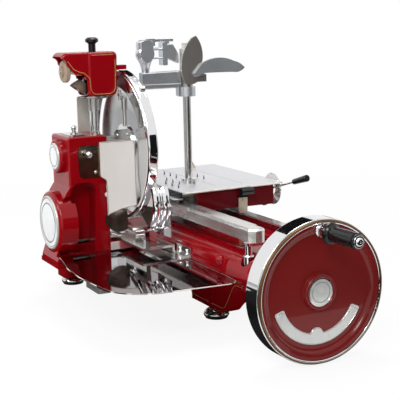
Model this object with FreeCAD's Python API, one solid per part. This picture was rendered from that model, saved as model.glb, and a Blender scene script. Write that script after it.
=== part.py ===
import FreeCAD, Part
import math
import os

# Hand crank meat slicer, millimetres, +Z up.
# -Y is the operator's side (the flywheel), +X is the product table, -X the slice tray.
# Everything is laid out from the base centre line (x = 0) and the floor (z = 0), and is moved
# as one at the end so that the origin is under the middle of the whole machine.

V = FreeCAD.Vector
DIRECTION = {"x": V(1, 0, 0), "y": V(0, 1, 0), "z": V(0, 0, 1)}

# Fits and gaps
run_fit = 0.05          # radial clearance of a shaft in its bush
seat_gap = 0.3          # parts of different bodies that face each other
mesh_gap = 0.4          # between the teeth of two gears
small_gap = 0.5         # between a part and the plate that it lies over
pole_flat = 0.6         # radius of the flat in the middle of a domed face

# Flywheel
wheel_x = -69.0
wheel_z = 160.0
wheel_front = -101.0    # front plane of the rim
disc_radius = 147.5
rim_radius = disc_radius + 10.5
rim_width = 51.0
rim_wall = 5.0
disc_web = 8.0
hub_radius = 42.0
shaft_radius = 12.0
badge_radius = 31.0
badge_thick = 3.0
crank_radius = disc_radius - 13.5     # axis of the crank to the axis of the wheel
grip_radius = 16.5
grip_length = 100.0
ferrule_radius = 12.5
ferrule_length = 30.0
crank_pin_radius = 6.0
plate_outer = disc_radius - 31.5      # arc-shaped plate
plate_inner = plate_outer - 24.0
plate_start = -163.0
plate_end = -25.0
plate_thick = 1.6

# Base casting
base_half = 125.0
base_front = 215.0
base_rear = 860.0
base_low = 100.0
base_edge = 137.0       # height of the widest line of the side
base_top = 195.0
base_wall = 8.0
crown_radius = 52.0
skirt_half = 108.0
skirt_front = 300.0
skirt_low = 25.0
arch_low = 58.0
nose_end = -42.0
nose_radius = 46.0

# Feet
foot_radius = 32.0
foot_pad = 4.0
foot_places = [(-94.0, 324.0), (86.0, 324.0), (86.0, 825.0), (-285.0, 825.0)]

# Blade and its ring
blade_y = 660.0
blade_z = 405.0
blade_edge_x = -170.0
blade_radius = 185.0
blade_thick = 4.0
blade_dish = 9.0
ring_outer = 200.0
ring_inner = 188.0
ring_face = -176.0      # side of the ring nearest the table
ring_width = 27.0
blade_hub_radius = 55.0
blade_shaft_radius = 14.0

# Column
col_left = -364.0
col_right = -256.0
col_front = blade_y - 60.0
col_rear = blade_y + 60.0
col_top = 442.0
col_box_low = 335.0
col_base_low = 104.0
foot_reach = 42.0         # how far the column's foot stands out to the left
pillar_low_left = -302.0
pillar_top_left = -291.0
boss_z = 217.0
boss_radius = 82.0
boss_face = -402.0
upper_boss_z = 389.0
upper_boss_radius = 44.0
upper_boss_face = -379.0
latch_x = -316.0
latch_z = 397.0

# Drive
cross_z = wheel_z
cross_radius = 10.0
chain_x = -279.0
sprocket_width = 6.0
lower_sprocket = 33.0
upper_sprocket = 19.0
chain_depth = 5.0
wheel_bevel = 25.0
cross_bevel = 16.0
bevel_share = 0.33      # part of the cone that carries teeth
wheel_teeth = 22
cross_teeth = 14
lower_teeth = 22
upper_teeth = 13
carriage_bevel_y = 300.0
carriage_chain_x = 0.0
carriage_sprocket = 20.0
carriage_chain_far = 640.0

# Rails and carriage
rail_left = -100.0
rail_right = -56.0
rail_low = 224.0
rail_top = 254.0
rail_front = 166.0
rail_rear = 880.0
post_x = -96.0
post_y = 157.0
post_base = 149.0
post_radius = 8.5
far_rail_x = 98.0
far_rail_half = 14.0
far_rail_top = 214.0
far_rail_front = 217.0
roller_radius = 12.0
roller_width = 14.0
roller_front_y = 545.0
roller_rear_y = 822.0
axle_radius = 4.0

# Product table
table_left = -98.0
table_right = 207.0
table_front = 485.0
table_rear = 885.0
table_top_z = 290.0
table_thick = 5.0
wing_x = 120.0
wing_y = 855.0
apron_low = 235.0
apron_right = 178.0
apron_wall = 6.0
feed_lift = 3.0         # between the carriage frame and the table that feeds across it
lug_x = 11.0
lock_x = 79.0
lock_z = 243.0
lever_y = 547.0
lever_z = 262.0
lever_length = 118.0
lever_aim = V(0.10, -math.cos(math.radians(17)), math.sin(math.radians(17)))
lever_aim.normalize()

# Meat clamp
clamp_x = -14.0
clamp_y = 618.0
clamp_post_radius = 10.5
clamp_post_top = 668.0
bar_low = 562.0
bar_high = 595.0
bar_left = -148.0

# Sharpener
sharp_x = -272.0
sharp_y = blade_y - 20.0
sharp_low = 541.0
cover_top = 654.0
knob_stem = 9.5
grind_z = 606.0
cup_centre = (-313.0, sharp_y + 5, 558.0)
cup_aim = V(0.55, 0, 0.83)
cup_aim.normalize()

# Slice tray
tray_top = 137.0
tray_thick = 2.5
tray_right = -130.0


def block(x0, x1, y0, y1, z0, z1):
    return Part.makeBox(x1 - x0, y1 - y0, z1 - z0, V(x0, y0, z0))


def rod(axis, start, radius, length):
    return Part.makeCylinder(radius, length, V(*start), DIRECTION[axis])


def tube(axis, start, outer, inner, length):
    return rod(axis, start, outer, length).cut(rod(axis, start, inner, length))


def cone(axis, start, radius_a, radius_b, length):
    return Part.makeCone(radius_a, radius_b, length, V(*start), DIRECTION[axis])


def ball(centre, radius):
    return Part.makeSphere(radius, V(*centre))


def place(axis, point, level):
    """A point of a flat outline, lifted to its place in space."""
    a, b = point
    if axis == "x":
        return V(level, a, b)
    if axis == "y":
        return V(a, level, b)
    return V(a, b, level)


def outline(axis, steps, level):
    """A closed wire from corner points; a step of two points is an arc through the first."""
    edges = []
    first = place(axis, steps[0], level)
    here = first
    for step in steps[1:]:
        if isinstance(step[0], tuple):
            middle = place(axis, step[0], level)
            end = place(axis, step[1], level)
            edges.append(Part.Arc(here, middle, end).toShape())
        else:
            end = place(axis, step, level)
            edges.append(Part.LineSegment(here, end).toShape())
        here = end
    if (here - first).Length > 1e-6:
        edges.append(Part.LineSegment(here, first).toShape())
    return Part.Wire(edges)


def prism(axis, steps, start, end):
    face = Part.Face(outline(axis, steps, start))
    return face.extrude(DIRECTION[axis] * (end - start))


def turned(axis, centre, profile):
    """A solid of revolution; the profile holds (radius, distance along the axis) steps."""
    def lift(point):
        radius, along = point
        if axis == "x":
            return V(along, centre[0], centre[1] + radius)
        if axis == "y":
            return V(centre[0] + radius, along, centre[1])
        return V(centre[0] + radius, centre[1], along)

    edges = []
    here = lift(profile[0])
    first = here
    for step in profile[1:]:
        if isinstance(step[0], tuple):
            middle = lift(step[0])
            end = lift(step[1])
            edges.append(Part.Arc(here, middle, end).toShape())
        else:
            end = lift(step)
            edges.append(Part.LineSegment(here, end).toShape())
        here = end
    if (here - first).Length > 1e-6:
        edges.append(Part.LineSegment(here, first).toShape())
    face = Part.Face(Part.Wire(edges))
    if axis == "x":
        base = V(0, centre[0], centre[1])
    elif axis == "y":
        base = V(centre[0], 0, centre[1])
    else:
        base = V(centre[0], centre[1], 0)
    return face.revolve(base, DIRECTION[axis], 360)


def screw_head(axis, centre, radius, seat, height):
    """A round head on its seat; a negative height points it down its axis."""
    return turned(axis, centre, [(0, seat), (radius, seat), ((radius * 0.8, seat + height * 0.7),
                                 (pole_flat, seat + height)), (0, seat + height)])


def fuse(first, *others):
    return first.fuse(list(others)).removeSplitter()


def cut(first, *others):
    return first.cut(list(others))


def turn(shape, axis, centre, angle):
    copy = shape.copy()
    copy.rotate(V(*centre), DIRECTION[axis], angle)
    return copy


def straight_edges(shape, axis, keep=None):
    """The straight edges that run along an axis, or only those whose middle passes the test."""
    found = []
    for edge in shape.Edges:
        if not isinstance(edge.Curve, Part.Line):
            continue
        if abs(edge.Curve.Direction.dot(DIRECTION[axis])) < 0.995:
            continue
        if keep is None or keep(edge.CenterOfMass):
            found.append(edge)
    return found


def softened(shape, axis, radius, keep=None):
    return shape.makeFillet(radius, straight_edges(shape, axis, keep))


def tooth_outline(axis, centre, tip, root, teeth, level, phase=0.0):
    """A gear or sprocket outline with straight-sided teeth."""
    points = []
    pitch = 2 * math.pi / teeth
    for number in range(teeth):
        start = phase + number * pitch
        for radius, share in ((root, -0.36), (tip, -0.14), (tip, 0.14), (root, 0.36)):
            angle = start + share * pitch
            points.append((centre[0] + radius * math.cos(angle), centre[1] + radius * math.sin(angle)))
    return outline(axis, points, level)


def bevel_gear(axis, centre, apex, large_at, large, width, teeth, bore):
    """A bevel gear as a ruled loft between two tooth outlines that shrink towards the apex."""
    direction = 1 if apex > large_at else -1
    small_at = large_at + direction * width
    share = (apex - small_at) / (apex - large_at)
    depth = 3.0
    wires = []
    for level, scale in ((large_at, 1.0), (small_at, share)):
        wires.append(tooth_outline(axis, centre, large * scale, (large - depth) * scale, teeth, level))
    gear = Part.makeLoft(wires, True, True)
    if bore == 0:
        return gear
    low = min(large_at, small_at)
    return gear.cut(rod(axis, place_start(axis, centre, low - 1), bore, width + 2))


def place_start(axis, centre, level):
    point = place(axis, centre, level)
    return (point.x, point.y, point.z)


def sprocket(axis, centre, middle, radius, width, teeth, bore):
    start = middle - width / 2
    face = Part.Face(tooth_outline(axis, centre, radius, radius - 3.0, teeth, start))
    disc = face.extrude(DIRECTION[axis] * width)
    return disc.cut(rod(axis, place_start(axis, centre, start - 1), bore, width + 2))


def chain_loop(axis, first, second, radius_a, radius_b, depth, start, width):
    """A closed band round two circles of different size."""
    def band(extra):
        ra = radius_a + extra
        rb = radius_b + extra
        dx = second[0] - first[0]
        dy = second[1] - first[1]
        span = math.hypot(dx, dy)
        heading = math.atan2(dy, dx)
        lean = math.acos((ra - rb) / span)
        steps = []
        for centre, radius, angle in ((first, ra, heading + lean), (second, rb, heading + lean),
                                      (second, rb, heading - lean), (first, ra, heading - lean)):
            steps.append((centre[0] + radius * math.cos(angle), centre[1] + radius * math.sin(angle)))
        far = (second[0] + rb * math.cos(heading), second[1] + rb * math.sin(heading))
        near = (first[0] - ra * math.cos(heading), first[1] - ra * math.sin(heading))
        return [steps[0], steps[1], (far, steps[2]), steps[3], (near, steps[0])]

    outer = prism(axis, band(depth), start, start + width)
    inner = prism(axis, band(0), start - 1, start + width + 1)
    return outer.cut(inner)


# Flywheel


def wheel_rim():
    front = wheel_front
    rear = front + rim_width
    inner = rim_radius - rim_wall
    lip = rim_radius - 2.0
    profile = [(disc_radius + 1.0, front - 1.5),
               ((disc_radius + 4.0, front - 3.0), (disc_radius + 7.5, front - 1.5)),
               (disc_radius + 7.5, front + 2.5), (lip, front + 2.5),
               ((rim_radius - 0.6, front + 3.1), (rim_radius, front + 5)),
               (rim_radius, rear - 4), ((rim_radius - 1.2, rear - 1.2), (rim_radius - 4, rear)),
               (inner - 3, rear), (inner - 3, rear - 3), (inner, rear - 3), (inner, front + 12),
               (disc_radius + 1.0, front + 8)]
    return turned("y", (wheel_x, wheel_z), profile)


def wheel_disc():
    front = wheel_front
    field = front + 12.0
    profile = [(shaft_radius, field), (badge_radius + 0.5, field), (badge_radius + 0.5, front + 3),
               ((badge_radius + 4, front + 1.0), (hub_radius - 3, front + 4)), (hub_radius, field),
               (disc_radius - 22, field), ((disc_radius - 16, field - 2.5), (disc_radius - 11, front + 3)),
               (disc_radius - 6, front + 1), (disc_radius + 0.7, front + 1), (disc_radius + 0.7, front + 7),
               (disc_radius - 8, field + disc_web - 4), (disc_radius - 20, field + disc_web),
               (hub_radius + 4, field + disc_web), (hub_radius - 8, field + 30),
               (shaft_radius, field + 30)]
    disc = turned("y", (wheel_x, wheel_z), profile)
    pin_hole = rod("y", (wheel_x, front - 5, wheel_z + crank_radius), crank_pin_radius, 40)
    return disc.cut(pin_hole)


def wheel_shaft():
    start = wheel_front + 12.0
    cap_room = rod("y", (wheel_x, start - badge_thick - 1, wheel_z), badge_radius - 8, badge_thick + 1)
    long_shaft = rod("y", (wheel_x, start, wheel_z), shaft_radius, blade_y - cross_bevel + 6 - start)
    return fuse(long_shaft, cap_room)


def hub_badge():
    back = wheel_front + 12.0 - badge_thick - 1
    profile = [(0, back), (badge_radius, back), (badge_radius, back - 3),
               ((badge_radius * 0.7, back - 4.6), (pole_flat, back - 5.2)), (0, back - 5.2)]
    return turned("y", (wheel_x, wheel_z), profile)


def arc_plate():
    """The bare arc plate under the hub, with a half-round lug in its inner edge."""
    face_y = wheel_front + 12.0
    middle = (plate_start + plate_end) / 2

    def at(radius, degrees):
        angle = math.radians(degrees)
        return (wheel_x + radius * math.cos(angle), wheel_z + radius * math.sin(angle))

    steps = [at(plate_outer, plate_start), (at(plate_outer, middle), at(plate_outer, plate_end)),
             at(plate_inner, plate_end), (at(plate_inner, middle), at(plate_inner, plate_start))]
    plate = prism("y", steps, face_y - plate_thick, face_y)
    centre = at(plate_inner + 2, middle)
    lug = rod("y", (centre[0], face_y - plate_thick, centre[1]), 16, plate_thick)
    shape = fuse(plate, lug)
    return softened(shape, "y", 5.0, lambda c: abs(math.hypot(c.x - wheel_x, c.z - wheel_z) - 104) > 11)


def arc_plate_rivets():
    """The two rivets of the arc plate."""
    rivets = []
    for degrees in (plate_start + 5, plate_end - 5):
        angle = math.radians(degrees)
        radius = (plate_inner + plate_outer) / 2
        spot = (wheel_x + radius * math.cos(angle), wheel_z + radius * math.sin(angle))
        back = wheel_front + 12.0 - plate_thick
        rivets.append(screw_head("y", spot, 3, back, -1.7))
    return rivets


def crank_pin():
    """Polished ferrule with the pin that the grip turns on, and its end screw."""
    centre = (wheel_x, wheel_z + crank_radius)
    root = wheel_front + 1.0
    tip = root - ferrule_length - grip_length
    profile = [(0, root + 16), (crank_pin_radius, root + 16), (crank_pin_radius, root),
               (ferrule_radius + 2, root), ((ferrule_radius - 1.5, root - 6),
                                            (ferrule_radius - 1.5, root - 14)),
               (ferrule_radius, root - 18), (ferrule_radius, root - ferrule_length + seat_gap),
               (crank_pin_radius, root - ferrule_length + seat_gap), (crank_pin_radius, tip - 1),
               (9.0, tip - 1), ((8.0, tip - 3), (pole_flat, tip - 3.6)), (0, tip - 3.6)]
    pin = turned("y", centre, profile)
    slot = block(centre[0] - 7, centre[0] + 7, tip - 5, tip - 2.4, centre[1] - 0.8, centre[1] + 0.8)
    return pin.cut(slot)


def crank_grip():
    centre = (wheel_x, wheel_z + crank_radius)
    root = wheel_front + 1.0 - ferrule_length
    tip = root - grip_length
    bore = crank_pin_radius + run_fit
    profile = [(bore, root), (grip_radius + 1.5, root), (grip_radius + 1.5, root - 4),
               ((grip_radius - 1.5, root - 7), (grip_radius - 1.5, root - 10)),
               ((grip_radius + 0.4, root - 55), (grip_radius - 0.5, tip + 6)),
               ((grip_radius - 2.0, tip + 1.8), (grip_radius - 6, tip)), (bore, tip)]
    grip = turned("y", centre, profile)
    flats = []
    for number in range(8):
        groove = rod("y", (centre[0] + grip_radius + 1.6, tip + 8, centre[1]), 2.2, grip_length - 24)
        flats.append(turn(groove, "y", (centre[0], 0, centre[1]), 22.5 + 45 * number))
    return grip.cut(flats)


# Base


def base_section(y, half, low, edge, top, crown, shift=0.0, lift=0.0):
    """One cross-section of the base: flat floor, leaning lower side, upright, round crown."""
    lean = half * 0.2
    bend = crown * (1 - math.sqrt(0.5))
    steps = [(shift - half + lean, low + lift), (shift - half, edge + lift),
             (shift - half, top - crown + lift),
             ((shift - half + bend, top - bend + lift), (shift - half + crown, top + lift)),
             (shift + half - crown, top + lift),
             ((shift + half - bend, top - bend + lift), (shift + half, top - crown + lift)),
             (shift + half, edge + lift), (shift + half - lean, low + lift)]
    return outline("y", steps, y)


def leg_front(inset):
    """The slanted front of the skirt, from the front feet up to the snout; inset gives its inside."""
    front, rear = base_front + 2 + inset, skirt_front + 12
    steps = [(rear, skirt_low - inset), (skirt_front - 25, skirt_low - inset),
             ((skirt_front - 44 + inset, skirt_low + 8), (skirt_front - 58 + inset, skirt_low + 25)),
             (front, base_low - 12), (front, base_low + 8), (rear, base_low + 8)]
    return prism("x", steps, -skirt_half + inset, skirt_half - inset)


def base_casting():
    body = Part.Face(base_section(base_front, base_half, base_low, base_edge, base_top, crown_radius))
    body = body.extrude(V(0, base_rear - base_front, 0))
    nose = nose_solid(0.0)
    skirt = block(-skirt_half, skirt_half, skirt_front, base_rear - 12, skirt_low, base_low + 10)
    skirt = softened(skirt, "z", 22)
    leg_rear = base_rear + 2
    left_foot = col_left - foot_reach
    outrigger = prism("z", [(-90, col_front), (left_foot, col_front), (left_foot, col_rear + 10),
                            (-330, leg_rear - 80), (-330, leg_rear), (-240, leg_rear), (-200, leg_rear - 47),
                            (-90, leg_rear - 47)], col_base_low, base_low + 15)
    rear_leg = softened(block(-322, -248, leg_rear - 74, leg_rear, skirt_low, col_base_low + 1), "z", 20)
    outer = fuse(body, nose, skirt, leg_front(0.0), outrigger, rear_leg)
    dome = turned("x", (250, 163), [(0, -base_half + 13), (12.5, -base_half + 7), ((9.5, -base_half - 2),
                                    (pole_flat, -base_half - 6)), (0, -base_half - 6)])
    outer = fuse(outer, dome)
    hollow = block(-base_half + base_wall, base_half - base_wall, base_front - 1, base_rear - base_wall,
                   base_low + base_wall, base_top - base_wall)
    hollow = softened(hollow, "y", crown_radius - base_wall, lambda c: c.z > base_edge)
    under = block(-skirt_half + base_wall, skirt_half - base_wall, skirt_front + base_wall,
                  base_rear - 12 - base_wall, skirt_low - 1, base_low)
    front_arch = prism("y", [(-62, skirt_low - 1), ((-56, arch_low - 5), (-42, arch_low)), (42, arch_low),
                             ((56, arch_low - 5), (62, skirt_low - 1))],
                       base_front, skirt_front + base_wall + 30)
    side_arch = prism("x", [(430, skirt_low - 1), ((440, arch_low - 5), (456, arch_low)), (694, arch_low),
                            ((710, arch_low - 5), (720, skirt_low - 1))], -skirt_half - 1, skirt_half + 1)
    leg_room = block(-314, -256, leg_rear - 66, leg_rear - 8, skirt_low - 1, base_low + 7)
    shaft_way = rod("y", (wheel_x, nose_end - 1, wheel_z), shaft_radius + 6, base_front - nose_end + 20)
    cross_way = rod("x", (-base_half - 1, blade_y, cross_z), 17.6, 24)
    lug_slot = block(lug_x - 4, lug_x + 10, 190, 720, base_top - base_wall - 30, base_top + 5)
    x, y = post_x, post_y
    post_seat = rod("z", (x, y, post_base), 18, 80)
    shape = cut(outer, hollow, nose_solid(base_wall), leg_front(base_wall), under, front_arch, side_arch,
                leg_room, shaft_way, cross_way, lug_slot, post_seat)
    pillar = rod("z", (x, y, base_low + base_wall - 1), 15, post_base - base_low - base_wall + 1)
    added = [pillar]
    web = block(-base_half + 5, wheel_x + 48, 628, 640, base_low + base_wall - 1, base_top - 30)
    web = web.common(block(-base_half + base_wall - 1, 0, 620, 650, 0, 300))
    added.append(web.cut(rod("y", (wheel_x, 600, wheel_z), shaft_radius + 6, 60)))
    for foot_x, foot_y in foot_places:
        top = arch_low + 2 if foot_x > -200 else base_low + 8
        added.append(rod("z", (foot_x, foot_y, skirt_low), 18, top - skirt_low))
    for pad_x in (-60, 60):
        for pad_y in (360, 760):
            added.append(block(pad_x - 8, pad_x + 8, pad_y - 8, pad_y + 8, arch_low + 5,
                               base_low + base_wall + 2))
    shape = shape.fuse(added)
    holes = [rod("z", (foot_x, foot_y, skirt_low - 1), 6, 24) for foot_x, foot_y in foot_places]
    holes.append(rod("z", (x, y, post_base - 12), post_radius, 14))
    return shape.cut(holes).removeSplitter()


def base_floor():
    plate = block(-skirt_half + base_wall + small_gap, skirt_half - base_wall - small_gap,
                  skirt_front + base_wall + small_gap, base_rear - 12 - base_wall - small_gap,
                  arch_low + 2, arch_low + 5)
    return plate


def feet():
    """Domed feet with their studs, each on a rubber pad."""
    solids = []
    for x, y in foot_places:
        r = foot_radius
        top = skirt_low
        profile = [(0, foot_pad), (r - 2, foot_pad), ((r, foot_pad + 5), (r - 3, foot_pad + 11)),
                   ((r - 8, top - 4), (r - 14, top - 1.5)), (r - 14, top), (6, top), (6, top + 23),
                   (0, top + 23)]
        solids.append(turned("z", (x, y), profile))
    for x, y in foot_places:
        solids.append(rod("z", (x, y, 0), foot_radius - 4, foot_pad))
    return solids


# Column


def column_casting():
    left_foot = col_left - foot_reach
    front = [(col_left, col_top), (col_right, col_top), (col_right, base_low + 15),
             (left_foot, base_low + 15),
             (left_foot, base_low + 24), (boss_face + 8, boss_z - 60), (boss_face + 8, boss_z + 30),
             ((col_left - 16, boss_z + 72), (col_left, col_box_low - 22))]
    body = prism("y", front, col_front, col_rear)
    body = softened(body, "y", 8.0, lambda c: c.z > col_top - 1)
    body = body.makeFillet(5.0, [e for e in body.Edges if abs(e.CenterOfMass.z - col_top) < 0.1
                                 and abs(e.CenterOfMass.y - col_front) < 0.1])
    boss = rod("x", (boss_face, blade_y, boss_z), boss_radius, -boss_face + col_left + 12)
    boss = boss.makeFillet(9.0, [e for e in boss.Edges if abs(e.CenterOfMass.x - boss_face) < 0.1])
    upper = rod("x", (upper_boss_face, blade_y, upper_boss_z), upper_boss_radius,
                -upper_boss_face + col_left + 10)
    upper = upper.makeFillet(5.0, [e for e in upper.Edges if abs(e.CenterOfMass.x - upper_boss_face) < 0.1])
    outer = fuse(body, boss, upper)
    floor = base_low + 34
    head = col_box_low - 12
    arch = [(boss_face - 30, floor), (pillar_low_left, floor), (pillar_top_left - 2, head - 24),
            ((pillar_top_left - 9, head - 7), (pillar_top_left - 26, head)), (col_left + 26, head),
            ((col_left + 9, head - 8), (col_left + 2, head - 30)),
            ((col_left - 14, boss_z + 70), (boss_face - 30, boss_z + 30))]
    pocket = prism("y", arch, col_front - 1, col_front + 44)
    pocket = pocket.cut(rod("x", (boss_face + 0.2, blade_y, boss_z), boss_radius, -boss_face + col_left + 4))
    pocket = pocket.cut(block(boss_face - 40, boss_face + 9, col_front + 20, col_front + 50, 100, 300))
    chain_room = block(chain_x - 9, chain_x + 9, blade_y - 41, blade_y + 41, cross_z - 41, blade_z + 28)
    blade_bore = rod("x", (col_left - 8, blade_y, blade_z), 24, 200)
    cross_bore = rod("x", (boss_face + 14, blade_y, cross_z), 17, 200)
    badge_seats = [rod("x", (boss_face - 1, blade_y, boss_z), 71, 2),
                   rod("x", (upper_boss_face - 1, blade_y, upper_boss_z), 36, 2)]
    back_room = block(col_left + 10, chain_x - 17, col_front + 54, col_rear - 9, base_low + 34,
                      col_box_low - 10)
    back_room = back_room.cut(rod("x", (boss_face, blade_y, cross_z), 24, 200))
    latch_hole = rod("y", (latch_x, col_front - 1, latch_z), 4 + run_fit, 20)
    return cut(outer, pocket, chain_room, blade_bore, cross_bore, back_room, latch_hole,
               *badge_seats).removeSplitter()


def badge(centre_z, face, radius):
    profile = [(0, face + 1), (radius, face + 1), (radius, face - 1.5),
               ((radius - 1.2, face - 3.2), (radius - 4, face - 3.4)),
               (radius - 6, face - 2.2), ((radius * 0.5, face - 3.0), (pole_flat, face - 3.4)),
               (0, face - 3.4)]
    return turned("x", (blade_y, centre_z), profile)


def column_cap():
    """Polished plate on the column with its stud nut, and the post of the sharpener."""
    cap = softened(block(col_left + 14, col_left + 62, blade_y - 42, blade_y + 34, col_top, col_top + 3),
                   "z", 9)
    spot = (col_left + 38, blade_y - 6)
    nut = turned("z", spot, [(0, col_top + 3), (11, col_top + 3), (11, col_top + 6), (5.5, col_top + 6.5),
                             (5.5, col_top + 12), (7, col_top + 13), (7, col_top + 20),
                             ((5, col_top + 23), (pole_flat, col_top + 24)), (0, col_top + 24)])
    foot = [(0, col_top), (13, col_top), (13, col_top + 5), (8, col_top + 8), (8, sharp_low - 36),
            (0, sharp_low - 36)]
    return [fuse(cap, nut), turned("z", (sharp_x, sharp_y), foot)]


def deflector():
    """Upright plate that peels the slices off the blade, with a step beside the dark plate."""
    top = 425.0
    step = 340.0
    low = 236.0
    left = -281.0
    right = -183.0
    front = col_front - 9.0
    steps = [(left, top), (right - 10, top), ((right - 3, top - 3), (right, top - 12)), (right + 1, low + 14),
             ((-228, low + 10), (left + 16, low - 4)), (left + 15, step - 30),
             ((left + 13, step - 14), (left + 2, step - 6)), (left, step)]
    plate = prism("y", steps, front, front + 2.5)
    spacers = [rod("y", (-263, front + 2.5, z), 6, 6.5) for z in (top - 30, low + 50)]
    return fuse(plate, *spacers)


def deflector_plate():
    plate = block(-338, -281.5, col_front - 3, col_front, 334, 418)
    plate = softened(plate, "y", 14, lambda c: c.x < -330)
    return plate.cut(rod("y", (latch_x, col_front - 5, latch_z), 4 + run_fit, 20))


def latch_knob():
    """Ball knob on a short stem that pulls out to free the slice deflector."""
    face = col_front - 3
    stem = rod("y", (latch_x, face - 16, latch_z), 4, 30)
    return fuse(ball((latch_x, face - 16, latch_z), 9.0), stem)


def inner_guard():
    """Dark dished plate that closes the space under the blade shaft, with its lens-shaped front."""
    right = -214.0
    steps = [(col_right, 231), ((-236, 237), (right, 236)), (right, 206), ((-238, 201), (col_right, 214))]
    dish = prism("y", steps, col_front, col_front + 28)
    lens = [(-270, 228), ((-238, 246), (-207, 241)), (-207, 190), ((-246, 186), (-270, 212))]
    return fuse(dish, prism("y", lens, col_front - 2.6, col_front))


# Blade group


def blade():
    back = blade_edge_x - blade_dish
    r = blade_radius
    profile = [(blade_shaft_radius, back), (r * 0.55, back), (r * 0.82, back + 3), (r - 3, blade_edge_x - 2.2),
               (r, blade_edge_x - 0.4), (r, blade_edge_x), (r - 14, blade_edge_x - 1.2),
               (r * 0.8, back + 3 + blade_thick), (r * 0.5, back + blade_thick),
               (blade_shaft_radius, back + blade_thick)]
    return turned("x", (blade_y, blade_z), profile)


def blade_hub():
    """Clamping flanges of the blade with their screws."""
    back = blade_edge_x - blade_dish
    face = back + blade_thick
    r = blade_hub_radius
    spot = (blade_y, blade_z)
    rear = turned("x", spot, [(blade_shaft_radius, back - 22), (26, back - 22), (30, back - 12),
                              (r, back - 6), (r, back), (blade_shaft_radius, back)])
    cap = turned("x", spot, [(0, face), (26, face), ((22, face + 5), (pole_flat, face + 7)), (0, face + 7)])
    solids = [rear, cap]
    for number in range(4):
        angle = math.radians(45 + 90 * number)
        screw_spot = (blade_y + 40 * math.cos(angle), blade_z + 40 * math.sin(angle))
        solids.append(screw_head("x", screw_spot, 5, face, 2.6))
    return solids


def blade_shaft():
    """Blade shaft with its small chain wheel."""
    start = col_left - 4
    end = blade_edge_x - blade_dish + blade_thick
    shaft = rod("x", (start, blade_y, blade_z), blade_shaft_radius, end - start)
    wheel = sprocket("x", (blade_y, blade_z), chain_x, upper_sprocket, sprocket_width, upper_teeth,
                     blade_shaft_radius)
    return fuse(shaft, wheel)


def blade_ring():
    left = ring_face - ring_width
    profile = [(ring_inner, left), (ring_outer - 6, left),
               ((ring_outer - 1.7, left + 1.7), (ring_outer, left + 6)), (ring_outer, ring_face - 5),
               ((ring_outer - 1.2, ring_face - 1.2), (ring_outer - 4, ring_face)),
               (ring_inner + 2, ring_face), (ring_inner, ring_face - 6)]
    band = turned("x", (blade_y, blade_z), profile)
    plate = tube("x", (left - 2, blade_y, blade_z), ring_inner + 6, ring_inner - 30, 2)
    sector = prism("x", [(blade_y, blade_z), (blade_y - 300, blade_z + 110), (blade_y - 300, blade_z + 300),
                         (blade_y + 20, blade_z + 300)], left - 3, left + 1)
    lug = rod("x", (ring_face - 14, blade_y - 128, blade_z + 154), 8, 12)
    foot = block(left, ring_face - 4, blade_y - 30, blade_y + 30, 172, 230)
    foot = foot.cut(rod("x", (left - 5, blade_y, blade_z), ring_inner + 3, 60))
    foot = foot.cut(rod("x", (left - 5, blade_y, cross_z), 16.3, 60))
    return fuse(band, plate.common(sector), lug, foot)


def lower_guard():
    """Polished fender below the front of the ring, two rounded bands with a groove, and its flat sheet."""
    centre_y, centre_z = blade_y - 165, 280
    crest, root = 80, 73
    section = [(root - 3, -213), (root, -213), ((crest, -203), (root + 1, -193)),
               ((root - 1, -190), (root + 1, -187)), ((crest, -177), (root, -167)), (root - 3, -167)]
    reach = prism("x", [(centre_y, centre_z), (centre_y - 192, centre_z + 123),
                        (centre_y - 230, centre_z - 240), (centre_y - 30, centre_z - 240)], -220, -160)
    fender = turned("x", (centre_y, centre_z), section).common(reach)
    front = blade_y - 245
    sheet = prism("x", [(blade_y - 158, 284), (front + 18, 284), ((front + 5, 279), (front, 266)),
                        (front, 194), (blade_y - 158, 190)], -170, -167)
    web = prism("x", [(centre_y - 66, centre_z + 40), (blade_y - 180, 340), (blade_y - 115, 236),
                      (blade_y - 160, 206), (centre_y - 20, centre_z - 74)], -192, -188)
    web = web.cut(rod("x", (-193, blade_y, blade_z), ring_outer + seat_gap, 6))
    foot = block(-200, -180, centre_y - 17, centre_y + 9, 160, centre_z - root + 2)
    return fuse(fender, sheet, web, foot)


def guard_ledge():
    fold = -base_half - 13
    front, rear = blade_y - 186, blade_y + 40
    plate = block(-222, fold + 6, front, rear, 154, 160)
    slot = softened(block(-176, -158, front + 16, front + 136, 150, 170), "z", 8.5)
    lip = block(fold, -base_half, front, rear, 139, 143)
    riser = block(fold, fold + 6, front, rear, 139, 154)
    arm = block(-214, -172, blade_y - 30, blade_y + 30, 160,
                172).cut(rod("x", (-300, blade_y, cross_z), 16.3, 300))
    plate = plate.cut(rod("x", (-300, blade_y, cross_z), 16.3, 300))
    riser = riser.cut(rod("x", (-300, blade_y, cross_z), 17.3, 300))
    return fuse(plate.cut(slot), lip, riser, arm)


# Drive


def wheel_bevels():
    """Two bevel gears on the wheel shaft: one for the carriage drive, one for the blade."""
    width = bevel_share * cross_bevel
    gears = []
    for apex in (carriage_bevel_y, blade_y):
        gears.append(bevel_gear("y", (wheel_x, wheel_z), apex, apex - cross_bevel - mesh_gap, wheel_bevel,
                                width,
                                wheel_teeth, shaft_radius))
    return gears


def cross_group():
    """Cross shaft with its bevel pinion and the lower chain wheel."""
    reach = wheel_x - wheel_bevel - mesh_gap
    width = bevel_share * wheel_bevel
    gear = bevel_gear("x", (blade_y, cross_z), wheel_x, reach, cross_bevel, width, cross_teeth, 0)
    shaft = rod("x", (boss_face + 20, blade_y, cross_z), cross_radius, reach - boss_face - 20)
    wheel = sprocket("x", (blade_y, cross_z), chain_x, lower_sprocket, sprocket_width, lower_teeth,
                     cross_radius)
    return fuse(shaft, gear, wheel)


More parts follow.
